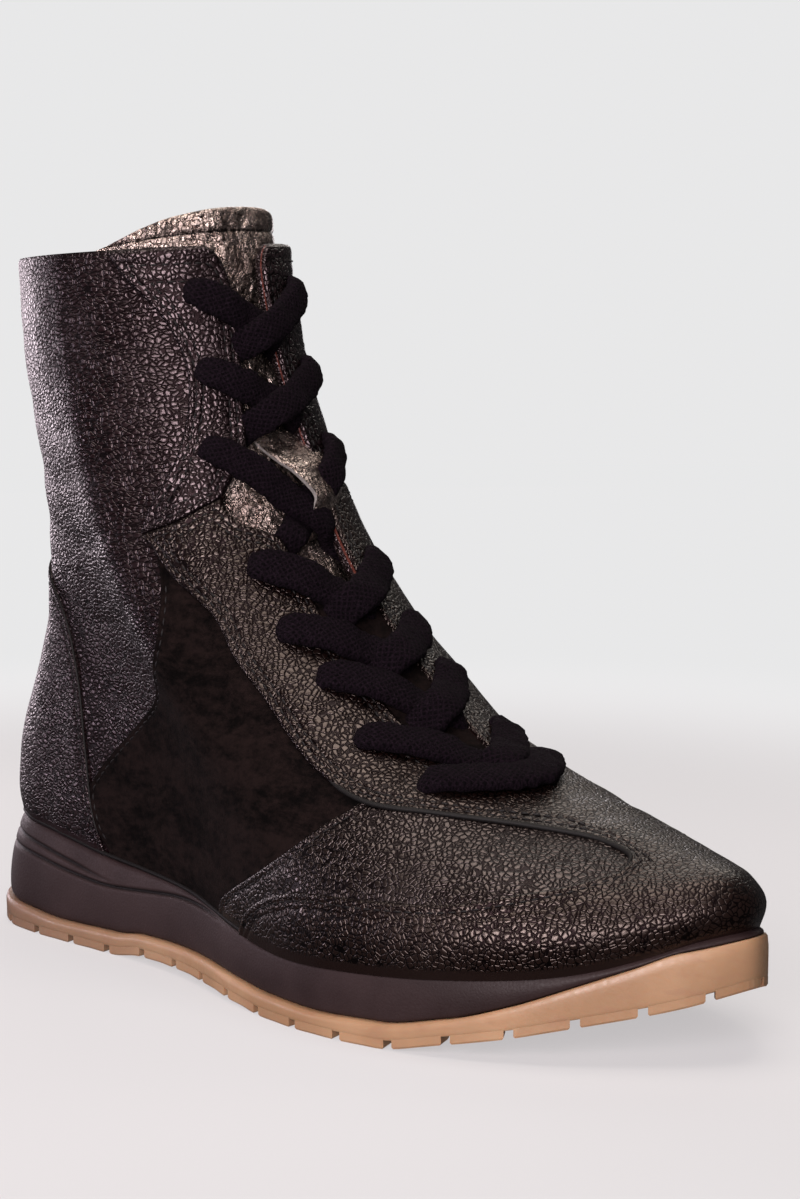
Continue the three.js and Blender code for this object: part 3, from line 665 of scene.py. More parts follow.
# Materials
class Graph:
    """Short names for the shader nodes that the materials use."""

    def __init__(self, name):
        self.material = bpy.data.materials.new(name)
        self.material.use_nodes = True
        tree = self.material.node_tree
        self.nodes, self.links, self.shader = tree.nodes, tree.links, tree.nodes["Principled BSDF"]
        self.coord = self.nodes.new("ShaderNodeTexCoord").outputs["Object"]

    def put(self, socket, value):
        """Links an output to a socket, or sets the socket to a number, a vector or a colour."""
        if hasattr(value, "is_output"):
            self.links.new(value, socket)
        else:
            socket.default_value = (*value, 1) if socket.type == "RGBA" else value

    def node(self, kind, inputs=(), **settings):
        node = self.nodes.new("ShaderNode" + kind)
        for key, value in settings.items():
            setattr(node, key, value)
        for key, value in inputs:
            self.put(node.inputs[key], value)
        return node

    def math(self, operation, a, b=0.0):
        return self.node("Math", ((0, a), (1, b)), operation=operation).outputs[0]

    def sum(self, *parts):
        """A sum of values, each times its weight."""
        weighed = [value if weight == 1 else self.math("MULTIPLY", value, weight) for value, weight in parts]
        total = weighed[0]
        for value in weighed[1:]:
            total = self.math("ADD", total, value)
        return total

    def ramp(self, value, low, high, out_low=0.0, out_high=1.0):
        """A value carried smoothly from one range to another."""
        numbers = (("From Min", low), ("From Max", high), ("To Min", out_low), ("To Max", out_high))
        node = self.node("MapRange", (("Value", value), *numbers), interpolation_type="SMOOTHSTEP")
        return node.outputs["Result"]

    def blend(self, share, a, b):
        """Two colours mixed by a share."""
        node = self.node("Mix", (("Factor", share),), data_type="RGBA")
        for name, value in (("A", a), ("B", b)):
            self.put([k for k in node.inputs if k.name == name and k.type == "RGBA"][0], value)
        return [k for k in node.outputs if k.type == "RGBA"][0]

    def noise(self, scale, detail=3.0, coord=None, rough=0.55):
        inputs = (("Vector", coord or self.coord), ("Scale", scale), ("Detail", detail), ("Roughness", rough))
        return self.node("TexNoise", inputs).outputs["Fac"]

    def cells(self, scale, coord):
        """How far the nearest border between cells is."""
        inputs = (("Vector", coord), ("Scale", scale))
        return self.node("TexVoronoi", inputs, feature="DISTANCE_TO_EDGE").outputs["Distance"]

    def vector(self, operation, a, b):
        key = "Scale" if operation == "SCALE" else 1
        return self.node("VectorMath", ((0, a), (key, b)), operation=operation).outputs[0]

    def warped(self, scale, amount, stretch=(1, 1, 1)):
        """The coordinate, pushed about by noise and stretched."""
        cloud = self.node("TexNoise", (("Vector", self.coord), ("Scale", scale))).outputs["Color"]
        pushed_coord = self.vector("ADD", self.coord, self.vector("SCALE", cloud, amount))
        return self.vector("MULTIPLY", pushed_coord, stretch)

    def attribute(self, name):
        return self.node("Attribute", attribute_name=name).outputs["Fac"]

    def bump(self, height, distance, under=()):
        """A bumped normal, at a depth in millimetres, over another where one is given."""
        return self.node("Bump", (("Distance", distance * MM), ("Height", height), *under)).outputs["Normal"]

    def finish(self, color, roughness, normal=None, specular=0.5, **numbers):
        """Sets the shader's sockets, where a key's _ stands for a space."""
        inputs = self.shader.inputs
        self.put(inputs["Base Color"], color)
        self.put(inputs["Roughness"], roughness)
        if normal is not None:
            self.put(inputs["Normal"], normal)
        inputs["Specular IOR Level"].default_value = specular
        for key, value in numbers.items():
            inputs[key.replace("_", " ")].default_value = value
        return self.material


BLACK = (0.0025, 0.0015, 0.0015)
REDDISH = (0.085, 0.024, 0.018)
# Reflection tint for the leather's creases, dark: painted shade
PAINTED_CREASE_SHADE = (0.2, 0.13, 0.14)


def shade(color, share):
    return tuple(share * c for c in color)


def leather(name, base, light, grain, depth, rough, stretch=(1, 1, 1), edge_color=BLACK,
            gleam=(1.0, 0.8, 0.84), smooth_toe=False):
    """Pebbled leather: rounded cells with painted shade in the creases between them, smooth by the feather
    line.
    """
    g = Graph(name)
    where = g.warped(240, 0.0018, stretch)
    edge, fine = [g.cells(1000 / size, where) for size in (grain, grain * 0.45)]
    patches = g.noise(38)
    pebble = g.ramp(g.sum((edge, 1), (g.math("SUBTRACT", patches, 0.5), 0.12)), 0.0, 0.2)
    height = g.sum((pebble, 0.6), (g.ramp(edge, 0.0, 0.5), 0.42), (g.ramp(fine, 0.0, 0.16), 0.05))
    if smooth_toe:
        height = g.math("MULTIPLY", height, g.ramp(g.attribute("station"), 0.92, 1.0, 1.0, 0.35))
    foot = g.ramp(g.attribute("feather"), 2.6, 5.0, 0.12, 1.0)
    normal = g.bump(g.math("MULTIPLY", height, foot), depth)
    tone = g.blend(g.ramp(g.noise(13, 2), 0.38, 0.62), base, light)
    crease = g.ramp(g.math("ADD", pebble, g.math("SUBTRACT", 1.0, foot)), 0.1, 0.95)
    # The creases are painted near black: painted shade in the grain's hollows
    color = g.blend(crease, shade(base, 0.05), tone)
    color = g.blend(g.ramp(g.attribute("edge"), 0.0, 1.3, 0.9, 0.0), color, shade(base, 0.3))
    color = g.blend(g.ramp(g.attribute("rim"), 0.12, 0.3), color, edge_color)
    roughness = g.sum((g.math("SUBTRACT", 1.0, crease), 0.14),
                      (g.ramp(patches, 0.3, 0.7, rough - 0.05, rough + 0.07), 1))
    # The creases' reflection is tinted dark as well: painted shade
    g.put(g.shader.inputs["Specular Tint"], g.blend(g.ramp(crease, 0.0, 0.65), PAINTED_CREASE_SHADE, gleam))
    return g.finish(color, roughness, normal, 0.58)


def suede(name):
    """Dark suede, brushed in soft streaks."""
    g = Graph(name)
    nap = g.noise(1000, 4, g.warped(120, 0.002), 0.7)
    brushed = g.noise(48, 4, g.warped(24, 0.012, (1, 1, 2.5)))
    streak = g.noise(260, 4, g.warped(60, 0.006, (1, 1, 1.8)), 0.65)
    shading = g.sum((brushed, 0.4), (nap, 0.2), (streak, 0.4))
    color = g.blend(g.ramp(shading, 0.38, 0.62), (0.0008, 0.0004, 0.0004), (0.0085, 0.0048, 0.0044))
    color = g.blend(g.ramp(g.attribute("edge"), 0.0, 1.2, 0.8, 0.0), color, BLACK)
    normal = g.bump(nap, 0.25, (("Normal", g.bump(brushed, 0.6)),))
    return g.finish(color, 0.95, normal, 0.06)


def pewter(name):
    """Crinkled metallic leather, with painted shade in the crevices between crinkles."""
    g = Graph(name)
    where = g.warped(330, 0.0035)
    crinkle = g.ramp(g.cells(620, where), 0.0, 0.12)
    fold = g.noise(330, 5, g.warped(90, 0.004), 0.65)
    fine = g.ramp(g.cells(1500, where), 0.0, 0.2)
    bend = g.noise(85, 3, g.warped(60, 0.006, (1.6, 1, 0.7)))
    height = g.sum((crinkle, 0.22), (fold, 1.6), (bend, 12.0), (fine, 0.08))
    tone = g.blend(g.ramp(g.noise(60), 0.35, 0.65), (0.3, 0.235, 0.21), (0.6, 0.5, 0.45))
    # The crevices between crinkles are painted dark: painted shade
    color = g.blend(crinkle, (0.07, 0.045, 0.038), tone)
    color = g.blend(g.ramp(g.attribute("hem"), 0.0, 1.0), color, (0.012, 0.009, 0.008))
    return g.finish(color, g.ramp(fold, 0.3, 0.7, 0.2, 0.32), g.bump(height, 0.5), Metallic=0.95)


def foam(name):
    """Fine-grained foam, with painted shade in its grooves."""
    g = Graph(name)
    grit = g.noise(1500)
    color = g.blend(g.ramp(g.noise(30), 0.35, 0.7), (0.0165, 0.0082, 0.0084), (0.026, 0.0145, 0.0148))
    # The grooves are painted near black: painted shade in the hollows
    color = g.blend(g.ramp(g.attribute("groove"), 0.0, 1.0), color, BLACK)
    return g.finish(color, g.ramp(grit, 0.3, 0.7, 0.5, 0.64), g.bump(grit, 0.1), 0.25)


def gum(name):
    """Cloudy gum rubber, browner at the heel and in the tread."""
    g = Graph(name)
    streak = g.noise(110, 3, g.warped(30, 0.006, (1, 1, 3)))
    speck = g.noise(700, 2)
    color = g.blend(g.ramp(g.noise(26, 4), 0.35, 0.68), (0.265, 0.149, 0.078), (0.355, 0.212, 0.118))
    color = g.blend(g.ramp(streak, 0.5, 0.75, 0.0, 0.45), color, (0.26, 0.135, 0.08))
    forward = g.node("SeparateXYZ", ((0, g.coord),)).outputs["X"]
    color = g.blend(g.ramp(forward, -0.04, 0.1, 0.85, 0.0), color, (0.15, 0.085, 0.055))
    color = g.blend(g.ramp(g.attribute("tread"), 0.0, 1.0), color, (0.2, 0.13, 0.08))
    return g.finish(color, g.ramp(speck, 0.3, 0.7, 0.36, 0.5), g.bump(speck, 0.06),
                    Subsurface_Weight=0.1, Subsurface_Scale=0.004)


def lace_cloth(name):
    """A soft braid: small slanted ribs that cross along its length."""
    g = Graph(name)
    along = g.sum((g.attribute("along"), 1), (g.noise(500), 1.2))
    around = g.attribute("around")
    ribs = [g.math("SINE", g.sum((along, 3.6), (around, slant))) for slant in (3.3, -3.3)]
    weave = g.math("MAXIMUM", *ribs)
    fuzz = g.noise(1700, 4, rough=0.75)
    height = g.sum((weave, 0.3), (fuzz, 1.7), (g.noise(420), 1.6))
    color = g.blend(g.ramp(weave, 0.0, 0.95), (0.001, 0.0005, 0.001), (0.0052, 0.0026, 0.0048))
    color = g.blend(g.ramp(fuzz, 0.45, 0.75, 0.0, 0.6), color, (0.021, 0.0125, 0.02))
    return g.finish(color, 0.95, g.bump(height, 0.4), 0.06)


def plain(name, color, roughness, grit=0.05, scale=900):
    """One colour with a fine speckle."""
    g = Graph(name)
    speck = g.noise(scale)
    color = g.blend(g.ramp(speck, 0.3, 0.7), shade(color, 0.6), color)
    return g.finish(color, roughness, g.bump(speck, grit), 0.25)


SIDE_STRETCH = (0.75, 0.75, 1.35)
quarter_leather = leather("quarter_leather", (0.0045, 0.0012, 0.0016), (0.007, 0.0024, 0.003),
                          1.6, 0.24, 0.28, SIDE_STRETCH)
counter_leather = leather("counter_leather", (0.005, 0.0018, 0.0022), (0.008, 0.0033, 0.004),
                          1.5, 0.22, 0.29, SIDE_STRETCH)
facing_leather = leather("facing_leather", (0.0055, 0.0028, 0.0034), (0.0095, 0.0055, 0.0062),
                         1.55, 0.17, 0.26, edge_color=REDDISH)
vamp_leather = leather("vamp_leather", (0.004, 0.0014, 0.0013), (0.0066, 0.003, 0.0025),
                       1.5, 0.19, 0.27, edge_color=REDDISH, gleam=(1.0, 0.83, 0.75), smooth_toe=True)
leaf_leather = leather("leaf_leather", (0.0042, 0.0023, 0.0022), (0.0075, 0.0047, 0.0041),
                       1.5, 0.18, 0.27, gleam=(1.0, 0.84, 0.8))
suede_material = suede("saddle_suede")
pewter_material = pewter("pewter_leather")
foam_material = foam("midsole_foam")
gum_material = gum("gum_rubber")
lace_material = lace_cloth("lace_braid")
thread_material = plain("thread", (0.006, 0.0045, 0.005), 0.6, 0.08, 2500)
lining_material = plain("lining_cloth", (0.022, 0.013, 0.0115), 0.85, 0.12, 1400)
cut_edge_material = plain("cut_edge", (0.26, 0.235, 0.225), 0.8, 0.1, 1800)
dark_edge_material = plain("dark_edge", (0.0032, 0.0022, 0.0022), 0.65, 0.05)

# Heights of the upper's layers over the skin, and how far in from an edge its seams lie
BASE_TOP = 0.25
SADDLE_TOP = 0.95
LEAF_TOP = 1.3
COUNTER_TOP = 1.35
FACING_TOP = 1.75
VAMP_TOP = 2.2
SADDLE_SEAM = 1.9
SEAM = 2.3
SECOND_SEAM = 4.4
SEAM_DIP = 0.28
SEAM_HALF_WIDTH = 0.7


def crease_relief(points, lines):
    """Creases of the side view: each line is its knots, its depth and its width."""
    total = np.zeros(len(points))
    for knots, depth, width in lines:
        line = side_line(knots, 5)
        away = [segment_away(points[:, [0, 2]], a, b) for a, b in zip(line[:-1], line[1:])]
        best = np.min([np.hypot(a[:, 0], a[:, 1]) for a in away], axis=0)
        total -= depth * np.exp(-(best / width) ** 2)
        total += 0.4 * depth * np.exp(-((best - 2.1 * width) / (1.1 * width)) ** 2)
    return total


QUARTER_CREASES = [
    ([[0.09, 1.6], [0.15, 1.55], [0.2, 1.53], [0.25, 1.55]], 0.22, 3.2),
    ([[0.1, 1.42], [0.16, 1.38], [0.22, 1.4], [0.28, 1.44]], 0.2, 3.0),
    ([[0.11, 1.27], [0.17, 1.22], [0.23, 1.22], [0.29, 1.27]], 0.3, 3.4),
    ([[0.15, 1.08], [0.2, 1.02], [0.26, 1.01], [0.31, 1.05]], 0.25, 3.2),
    ([[0.18, 0.86], [0.22, 0.8], [0.26, 0.78]], 0.25, 3.0),
    ([[0.08, 1.78], [0.13, 1.75], [0.19, 1.76]], 0.18, 3.0),
]
VAMP_CREASES = [
    ([[0.74, 0.72], [0.76, 0.62], [0.79, 0.56]], 0.3, 2.0),
    ([[0.79, 0.7], [0.81, 0.6], [0.83, 0.54]], 0.25, 2.0),
]

COLLAR_ROLL = 1.4


def quarter_relief(patch):
    """The shaft's creases and swells, and the roll of its upper edge."""
    points, edge = patch.pos, patch.values["edge"]
    relief = crease_relief(points, QUARTER_CREASES)
    relief += 0.22 * noise3(points * [0.7, 0.7, 1.3], 42, 3) + 0.04 * noise3(points * [1, 1, 2.2], 14, 4)
    roll = 1 - np.sqrt(1 - (1 - np.clip(edge / COLLAR_ROLL, 0, 1)) ** 2)
    return relief * step(0, 5, edge) - 0.5 * roll


def panel_relief(amount, seed, creases, seams):
    """A panel's swells and creases, with a shallow dip along each seam."""
    def relief(patch):
        points, edge = patch.pos, patch.values["edge"]
        total = amount * noise3(points, 22, seed) + 0.35 * amount * noise3(points, 9, seed + 1)
        total = (total + crease_relief(points, creases)) * step(0, 4, edge)
        for seam in seams:
            total = total - SEAM_DIP * np.exp(-((edge - seam) / SEAM_HALF_WIDTH) ** 2)
        return total
    return relief


# Upper: the quarter sheet, cut away where the panels cover it
covered = np.maximum.reduce([vamp_field, facing_field, counter_field, saddle_field, leaf_field])
quarter = sheet_object("quarter", cut_patch(opening, (0.6, COLLAR_ROLL), covered, 5.0), 0.0, BASE_TOP,
                       quarter_leather, -WALL, quarter_relief, COLLAR_ROLL)
dress(quarter, "leather_black", "upper")

inner_patch = cut_patch(opening, (1.0,))
lining = make_object("lining", inner_patch.pos - inner_patch.nrm * WALL, inner_patch.tris[:, ::-1],
                     lining_material)
dress(lining, "insole_board")

# A panel's rounded edge: its radius, and how far in the sheet is cut for it
THIN_EDGE = (0.8, (0.3, 0.9))
THICK_EDGE = (1.1, (0.4, 1.1))
PANEL_SKIRT = -0.4


def panel(name, field, top, material, slot, nodes, swell, seams, edge=THIN_EDGE, over=None, creases=(),
          skirt=PANEL_SKIRT):
    """A panel over the quarter; swell is the height and the seed of its soft relief."""
    radius, levels = edge
    levels += tuple(seam + k for seam in seams for k in (-SEAM_HALF_WIDTH, 0.0, SEAM_HALF_WIDTH))
    sheet = sheet_object(name, cut_patch(field, levels, over), BASE_TOP, top - BASE_TOP, material, skirt,
                         panel_relief(*swell, creases, seams), radius)
    dress(sheet, slot, *nodes)


BOTH_SEAMS = (SEAM, SECOND_SEAM)
over_saddle = np.maximum(vamp_field, leaf_field)
panel("side_saddles", saddle_field, SADDLE_TOP, suede_material, "suede",
      ["side_panel_outer", "side_panel_inner"], (0.12, 11), (SADDLE_SEAM,), over=over_saddle)
panel("vamp_leaves", leaf_field, LEAF_TOP, leaf_leather, "leather_plum", [], (0.2, 21), (SEAM,),
      over=vamp_field)
panel("counter", counter_field, COUNTER_TOP, counter_leather, "leather_counter", ["heel_counter"],
      (0.15, 31), (SEAM,))
panel("vamp", vamp_field, VAMP_TOP, vamp_leather, "leather_plum", ["vamp_overlay"], (0.16, 41), BOTH_SEAMS,
      THICK_EDGE, creases=VAMP_CREASES)
panel("facings", facing_field, FACING_TOP, facing_leather, "leather_facing", ["facing_outer", "facing_inner"],
      (0.2, 51), BOTH_SEAMS, THICK_EDGE, skirt=-WALL)

# Seams: field, distances in, where they show, height over the skin and slot
SEAM_START_RING = 0.35
above_feather = GRID_RING > SEAM_START_RING
upper_vamp = above_feather & (LEVEL > 0.49) & (facing_field < -0.5)
bare_saddle = above_feather & (over_saddle < -1) & (facing_field < -1)
bare_leaf = above_feather & (vamp_field < -1)
front_seam = (LEVEL < 0.74) & (vamp_field > 2) & (STATION < 0.8)
for name, field, seams, mask, height, slot in (
        ("vamp", vamp_field, (SEAM,), above_feather, VAMP_TOP - SEAM_DIP, "leather_plum"),
        ("eyestay", vamp_field, (SECOND_SEAM,), upper_vamp, VAMP_TOP - SEAM_DIP, "leather_plum"),
        ("facing", facing_field, BOTH_SEAMS, None, FACING_TOP - SEAM_DIP, "leather_facing"),
        ("counter", counter_field, (SEAM,), above_feather, COUNTER_TOP - SEAM_DIP, "leather_counter"),
        ("saddle", saddle_field, (SADDLE_SEAM,), bare_saddle, SADDLE_TOP - SEAM_DIP, "suede"),
        ("leaf", leaf_field, (SEAM,), bare_leaf, LEAF_TOP - SEAM_DIP, "leather_plum"),
        ("throat", throat, (9.5,), front_seam, VAMP_TOP - 0.1, "leather_plum")):
    seam_lines = [line for seam in seams for line in iso_lines(field, seam, mask)]
    stitch_object(f"stitches_{name}", seam_lines, height, slot)

# Rolled edges
raised = (STATION > 0.6) & (LEVEL > 0.49) & (LEVEL < 0.68) & (throat > 6)
bead_object("vamp_edge_bead", iso_lines(vamp_field, 0.35, raised), 1.6, 0.8, "leather_plum")
low_counter = above_feather & (LEVEL < 1.3)
bead_object("counter_edge_bead", iso_lines(counter_field, 0.3, low_counter), 0.8, 0.4, "leather_counter")
low_line = np.where(GRID_RING < 3, FEATHER, 99.0)
bead_object("feather_cord", iso_lines(low_line, 1.1), 1.0, 0.6, "midsole_foam")

# Sole: the outline and its loops
SOLE_STEPS = 560
outline_width = width_at(OUTLINE[:, 0])
OUTLINE_CONTROLS = both_sides(x_of(OUTLINE[:, 0]), -OUTLINE[:, 1] * outline_width,
                              OUTLINE[:, 2] * outline_width, 0 * outline_width)
outline_line = closed_curve(OUTLINE_CONTROLS, np.linspace(0, 1, 4001))
sole_u = even_shares(outline_line, SOLE_STEPS, True)


def pushed(points, tangent, amount):
    """Points pushed level with the floor, to the left of their tangents."""
    tangent = unit(tangent * [1, 1, 0])
    return points + tangent[:, [1, 0, 2]] * [-1, 1, 0] * np.reshape(amount, (-1, 1))


def sole_loop(curve, reach, inset, height, us):
    """A loop set in from a curve, at a height for each station."""
    points, ahead, behind = [curve(us + k) for k in (0, reach, -reach)]
    points = pushed(points, ahead - behind, inset)
    points[:, 2] = height(station_of(points[:, 0]))
    return points


def outline_loop(inset, height, us=sole_u):
    return sole_loop(lambda at: closed_curve(OUTLINE_CONTROLS, at), 0.0005, inset, height, us)


def seat_loop(inset, height):
    return sole_loop(lambda at: skin(at, 0.0), 0.004, inset, height, sole_u)


def lid_faces(first, turned):
    """Faces across a loop, from side to side."""
    faces = []
    for i in range(SOLE_STEPS // 2):
        near, near_next = first + i, first + i + 1
        far, far_next = first + (SOLE_STEPS - i) % SOLE_STEPS, first + SOLE_STEPS - i - 1
        face = list(dict.fromkeys([near, far, far_next, near_next]))
        if len(face) > 2:
            faces.append(tuple(face[::-1] if turned else face))
    return faces


def sole_object(name, loops, material, key, numbers):
    """A closed form of the sole from its loops, with one named number for each point."""
    faces = loop_faces(len(loops), SOLE_STEPS) + lid_faces(0, False)
    faces += lid_faces((len(loops) - 1) * SOLE_STEPS, True)
    return make_object(name, np.vstack(loops), faces, material, {key: numbers})


# Midsole with its moulded grooves and the small steps behind the heel
MID_SHARES = np.concatenate([[0.0, 0.015], np.linspace(0.04, 0.95, 56), [0.985, 1.0]])
GROOVE_WIDTH = 0.55
GROOVE_DEPTH = 0.9
RIDGE_HEIGHT = 0.35
RIDGE_PITCH = 3.4
RIDGE_REACH = 12
BULGE = 0.7


def groove_profile(z, s):
    """How deep the side's grooves are at a height."""
    short = (midsole_top(s) - 5.0 - 1.6 * step(0.0, 0.25, s), 1 - step(0.17, 0.27, s))
    long = (midsole_top(s) - 9.4 + 8.6 * step(0.16, 0.46, s), (1 - step(0.4, 0.5, s)) * step(0.02, 0.07, s))
    total = np.zeros_like(z)
    for height, strength in (short, long):
        total = np.maximum(total, strength * np.exp(-((z - height) / GROOVE_WIDTH) ** 2))
    return total


def make_midsole():
    low = outline_loop(1.6, lambda s: outsole_top(s) + 0.05)
    high = seat_loop(-LEDGE, midsole_top)
    loops = []
    grooves = []
    for share in MID_SHARES:
        loop = low + (high - low) * share ** 1.6
        loop[:, 2] = mix(low[:, 2], high[:, 2], share)
        z, s = loop[:, 2], station_of(loop[:, 0])
        groove = groove_profile(z, s) * step(0.0, 0.12, share) * (1 - step(0.93, 1.0, share))
        ridges = RIDGE_HEIGHT * (1 - step(0.0, 0.05, s))
        ridges = ridges * np.sin((midsole_top(s) - z) * 2 * math.pi / RIDGE_PITCH)
        ridges = ridges * (z > midsole_top(s) - RIDGE_REACH)
        bulge = BULGE * np.sin(math.pi * share)
        rounding = 0.9 * np.exp(-share / 0.03) + 0.7 * np.exp(-(1 - share) / 0.03)
        tangent = np.roll(loop, -1, 0) - np.roll(loop, 1, 0)
        loops.append(pushed(loop, tangent, groove * GROOVE_DEPTH - bulge + rounding + ridges))
        # The groove share goes to the foam, which paints shade into the grooves
        grooves.append(groove)
    loops.append(seat_loop(3.0, midsole_top))
    grooves.append(np.zeros(SOLE_STEPS))
    return sole_object("midsole_wedge", loops, foam_material, "groove", np.concatenate(grooves))


dress(make_midsole(), "midsole_foam", "midsole")

# Outsole: the side wall, the lugs and the tread
TREAD_DEPTH = 2.2
BLOCK_ROOT = 0.4
BLOCK_BEVEL = 0.5
LUG_PITCH = 17.5
LUG_GAP = 2.6
LUG_REACH = 11.0
BAR_PITCH = 11.0
BAR_HALF_LENGTH = 2.5

# Each row of the wall: inset, share of the way up and what is added to its height
WALL_ROWS = [
    (11.0, 0, 0), (1.2, 0, 0), (0.35, 0, 0.08), (0.12, 0, 0.35), (0.05, 0, 1.2), (0.0, 0.5, 0),
    (0.0, 0.72, 0), (0.25, 1, -0.7), (0.6, 1, -0.2), (1.1, 1, 0), (6.0, 1, -0.2)]
TREAD_ROWS = 2


def make_outsole():
    loops = [outline_loop(inset, lambda s: mix(sole_bottom(s) + TREAD_DEPTH, outsole_top(s), share) + lift)
             for inset, share, lift in WALL_ROWS]
    tread = np.repeat([float(row < TREAD_ROWS) for row in range(len(loops))], SOLE_STEPS)
    return sole_object("outsole_plate", loops, gum_material, "tread", tread)


dress(make_outsole(), "gum_rubber", "outsole")


def block_rings(corners):
    """A tread block with a chamfered foot, from its corners in plan."""
    corners = np.asarray(corners, float)
    inward = corners + unit(corners.mean(0) - corners) * BLOCK_BEVEL
    return [np.column_stack([plan, sole_bottom(station_of(plan[:, 0])) + lift])
            for plan, lift in ((inward, 0), (corners, BLOCK_BEVEL), (corners, TREAD_DEPTH + BLOCK_ROOT))]


def make_lugs():
    lengths = run_lengths(outline_line)
    count = round(lengths[-1] / LUG_PITCH)
    shares = np.linspace(0, 1, len(lengths))
    blocks = []
    for k in range(count):
        start = k / count * lengths[-1]
        end = start + lengths[-1] / count - LUG_GAP
        edge_u = np.interp(np.linspace(start, end, 9), lengths, shares)
        narrow = 0.2 * (edge_u[-1] - edge_u[0])
        inner_u = np.linspace(edge_u[-1] - narrow, edge_u[0] + narrow, 5)
        rims = [outline_loop(inset, lambda s: 0 * s, us)
                for inset, us in ((0.06, edge_u), (LUG_REACH, inner_u))]
        blocks.append(block_rings(np.vstack(rims)[:, :2]))
    return blocks


def make_bars():
    blocks = []
    for first, last in ((0.09, 0.2), (0.58, 0.76)):
        for k in range(int((last - first) * LENGTH // BAR_PITCH) + 1):
            s = first + k * BAR_PITCH / LENGTH
            half = 0.28 * float(width_at(s))
            blocks.append(block_rings([[x_of(s) + a * BAR_HALF_LENGTH, b * half]
                                       for a, b in ((-1, -1), (1, -1), (1, 1), (-1, 1))]))
    return blocks


tubes_object("tread_lugs", make_lugs(), gum_material, "gum_rubber", False)
tubes_object("tread_bars", make_bars(), gum_material, "gum_rubber", False)


# Tongue: a padded sheet of crinkled metallic leather
TONGUE_REACH = np.array([[5.0, 0.07], [6.0, 0.08], [7.0, 0.1], [8.0, 0.125], [9.0, 0.15], [10.5, 0.18],
                         [12.0, 0.19], [12.85, 0.17]])
TONGUE_TOP = 12.85
TONGUE_ROUNDING = 0.16
TONGUE_DENT = 2.3
HEM = 12.3
HEM_DEPTH = 0.6


def make_tongue():
    across = np.linspace(-1, 1, 90)
    share = 1 - 0.9 * across ** 2
    loops = []
    hems = []
    for ring in np.concatenate([np.linspace(5.0, 12.6, 150), np.linspace(12.62, TONGUE_TOP, 16)]):
        reach = float(smooth(TONGUE_REACH[:, 0], TONGUE_REACH[:, 1], ring))
        over = max(0.0, ring - COLLAR_RING)
        lift = np.minimum(ring, COLLAR_RING) + over * 0.78 * share
        point, normal = skin_at(0.5 + reach * across, lift)
        puff = 1 - np.abs(across) ** 4
        end = math.sqrt(max(0.0, 1 - max(0.0, (ring - TONGUE_TOP + TONGUE_ROUNDING) / TONGUE_ROUNDING) ** 2))
        dent = TONGUE_DENT * step(4.0, 6.0, ring) * (1 - step(11.2, 12.0, ring)) * (1 - across ** 2)
        groove = HEM_DEPTH * math.exp(-((ring - HEM) / 0.05) ** 2)
        top = -(WALL + 0.9) - dent - 1.2 * (1 - end) - groove
        low = -(WALL + 1.3) - (3.0 + 1.6 * puff) * (0.25 + 0.75 * end)
        loops.append(np.vstack([point + normal * top[:, None], (point + normal * low[:, None])[::-1]]))
        hems.append(np.full(2 * len(across), math.exp(-((ring - HEM) / 0.035) ** 2)))
    points = np.vstack(loops)
    points[:, 0] += 0.3 * noise3(points, 12, 61) + 0.16 * noise3(points, 5, 62)
    faces = tube_faces(0, len(loops), 2 * len(across))
    return make_object("tongue_pad", points, faces, pewter_material, {"hem": np.concatenate(hems)})


tongue = dress(make_tongue(), "metallic_leather", "tongue")

# Laces
LACE_WIDTH = 10.6
LACE_THICKNESS = 4.5
LACE_AROUND = 22
HOLES = [[11.5, 0.424, 0.556], [10.68, 0.422, 0.56], [9.87, 0.409, 0.564], [8.57, 0.413, 0.561],
         [7.74, 0.409, 0.556], [7.1, 0.413, 0.552], [6.2, 0.406, 0.562], [5.2, 0.4, 0.563]]
REST = FACING_TOP + 0.5 * LACE_THICKNESS
STRAP_STEPS = 8


def strap_object(name, knots, widths):
    """A flat braid along knots of place, ring and offset on the skin."""
    u, ring, offset = np.array(knots).T
    placed, facing_out = skin_at(u, ring, offset)
    points = open_curve(placed, STRAP_STEPS)
    normals = open_curve(facing_out, STRAP_STEPS)
    width = open_curve(np.reshape(widths, (-1, 1)), STRAP_STEPS)[:, 0]
    along = unit(np.gradient(points, axis=0))
    side = unit(np.cross(along, normals))
    up = np.cross(side, along)
    angle = np.linspace(0, 2 * math.pi, LACE_AROUND, endpoint=False)
    flat = np.sign(np.cos(angle)) * np.abs(np.cos(angle)) ** 0.8
    thick = np.sign(np.sin(angle)) * np.abs(np.sin(angle)) ** 0.7
    thickness = LACE_THICKNESS * (1 + 0.3 * (1 - width / LACE_WIDTH))
    turn = 0.14 * noise3(points, 13, 81)[:, None]
    side, up = side * np.cos(turn) + up * np.sin(turn), up * np.cos(turn) - side * np.sin(turn)
    outward = ((side * (0.5 * width)[:, None])[:, None] * flat[None, :, None]
               + (up * (0.5 * thickness)[:, None])[:, None] * thick[None, :, None])
    rings = (points[:, None] + outward).reshape(-1, 3)
    swell = 0.34 * noise3(rings, 4.2, 82) + 0.22 * noise3(rings, 2.0, 83)
    values = {"along": np.repeat(run_lengths(points), LACE_AROUND),
              "around": np.tile(flat * 0.5 * LACE_WIDTH, len(points))}
    return make_object(name, rings + unit(outward).reshape(-1, 3) * swell[:, None],
                       tube_faces(0, len(points), LACE_AROUND), lace_material, values)


LEG_SHARES = [0.0, 0.01, 0.045, 0.12, 0.26, 0.4, 0.54, 0.65, 0.75, 0.88]
LEG_WIDTHS = [7.5, 8.2, 9.4, 10.6, 11.0, 11.0, 10.8, 10.2, 9.6, 8.8]


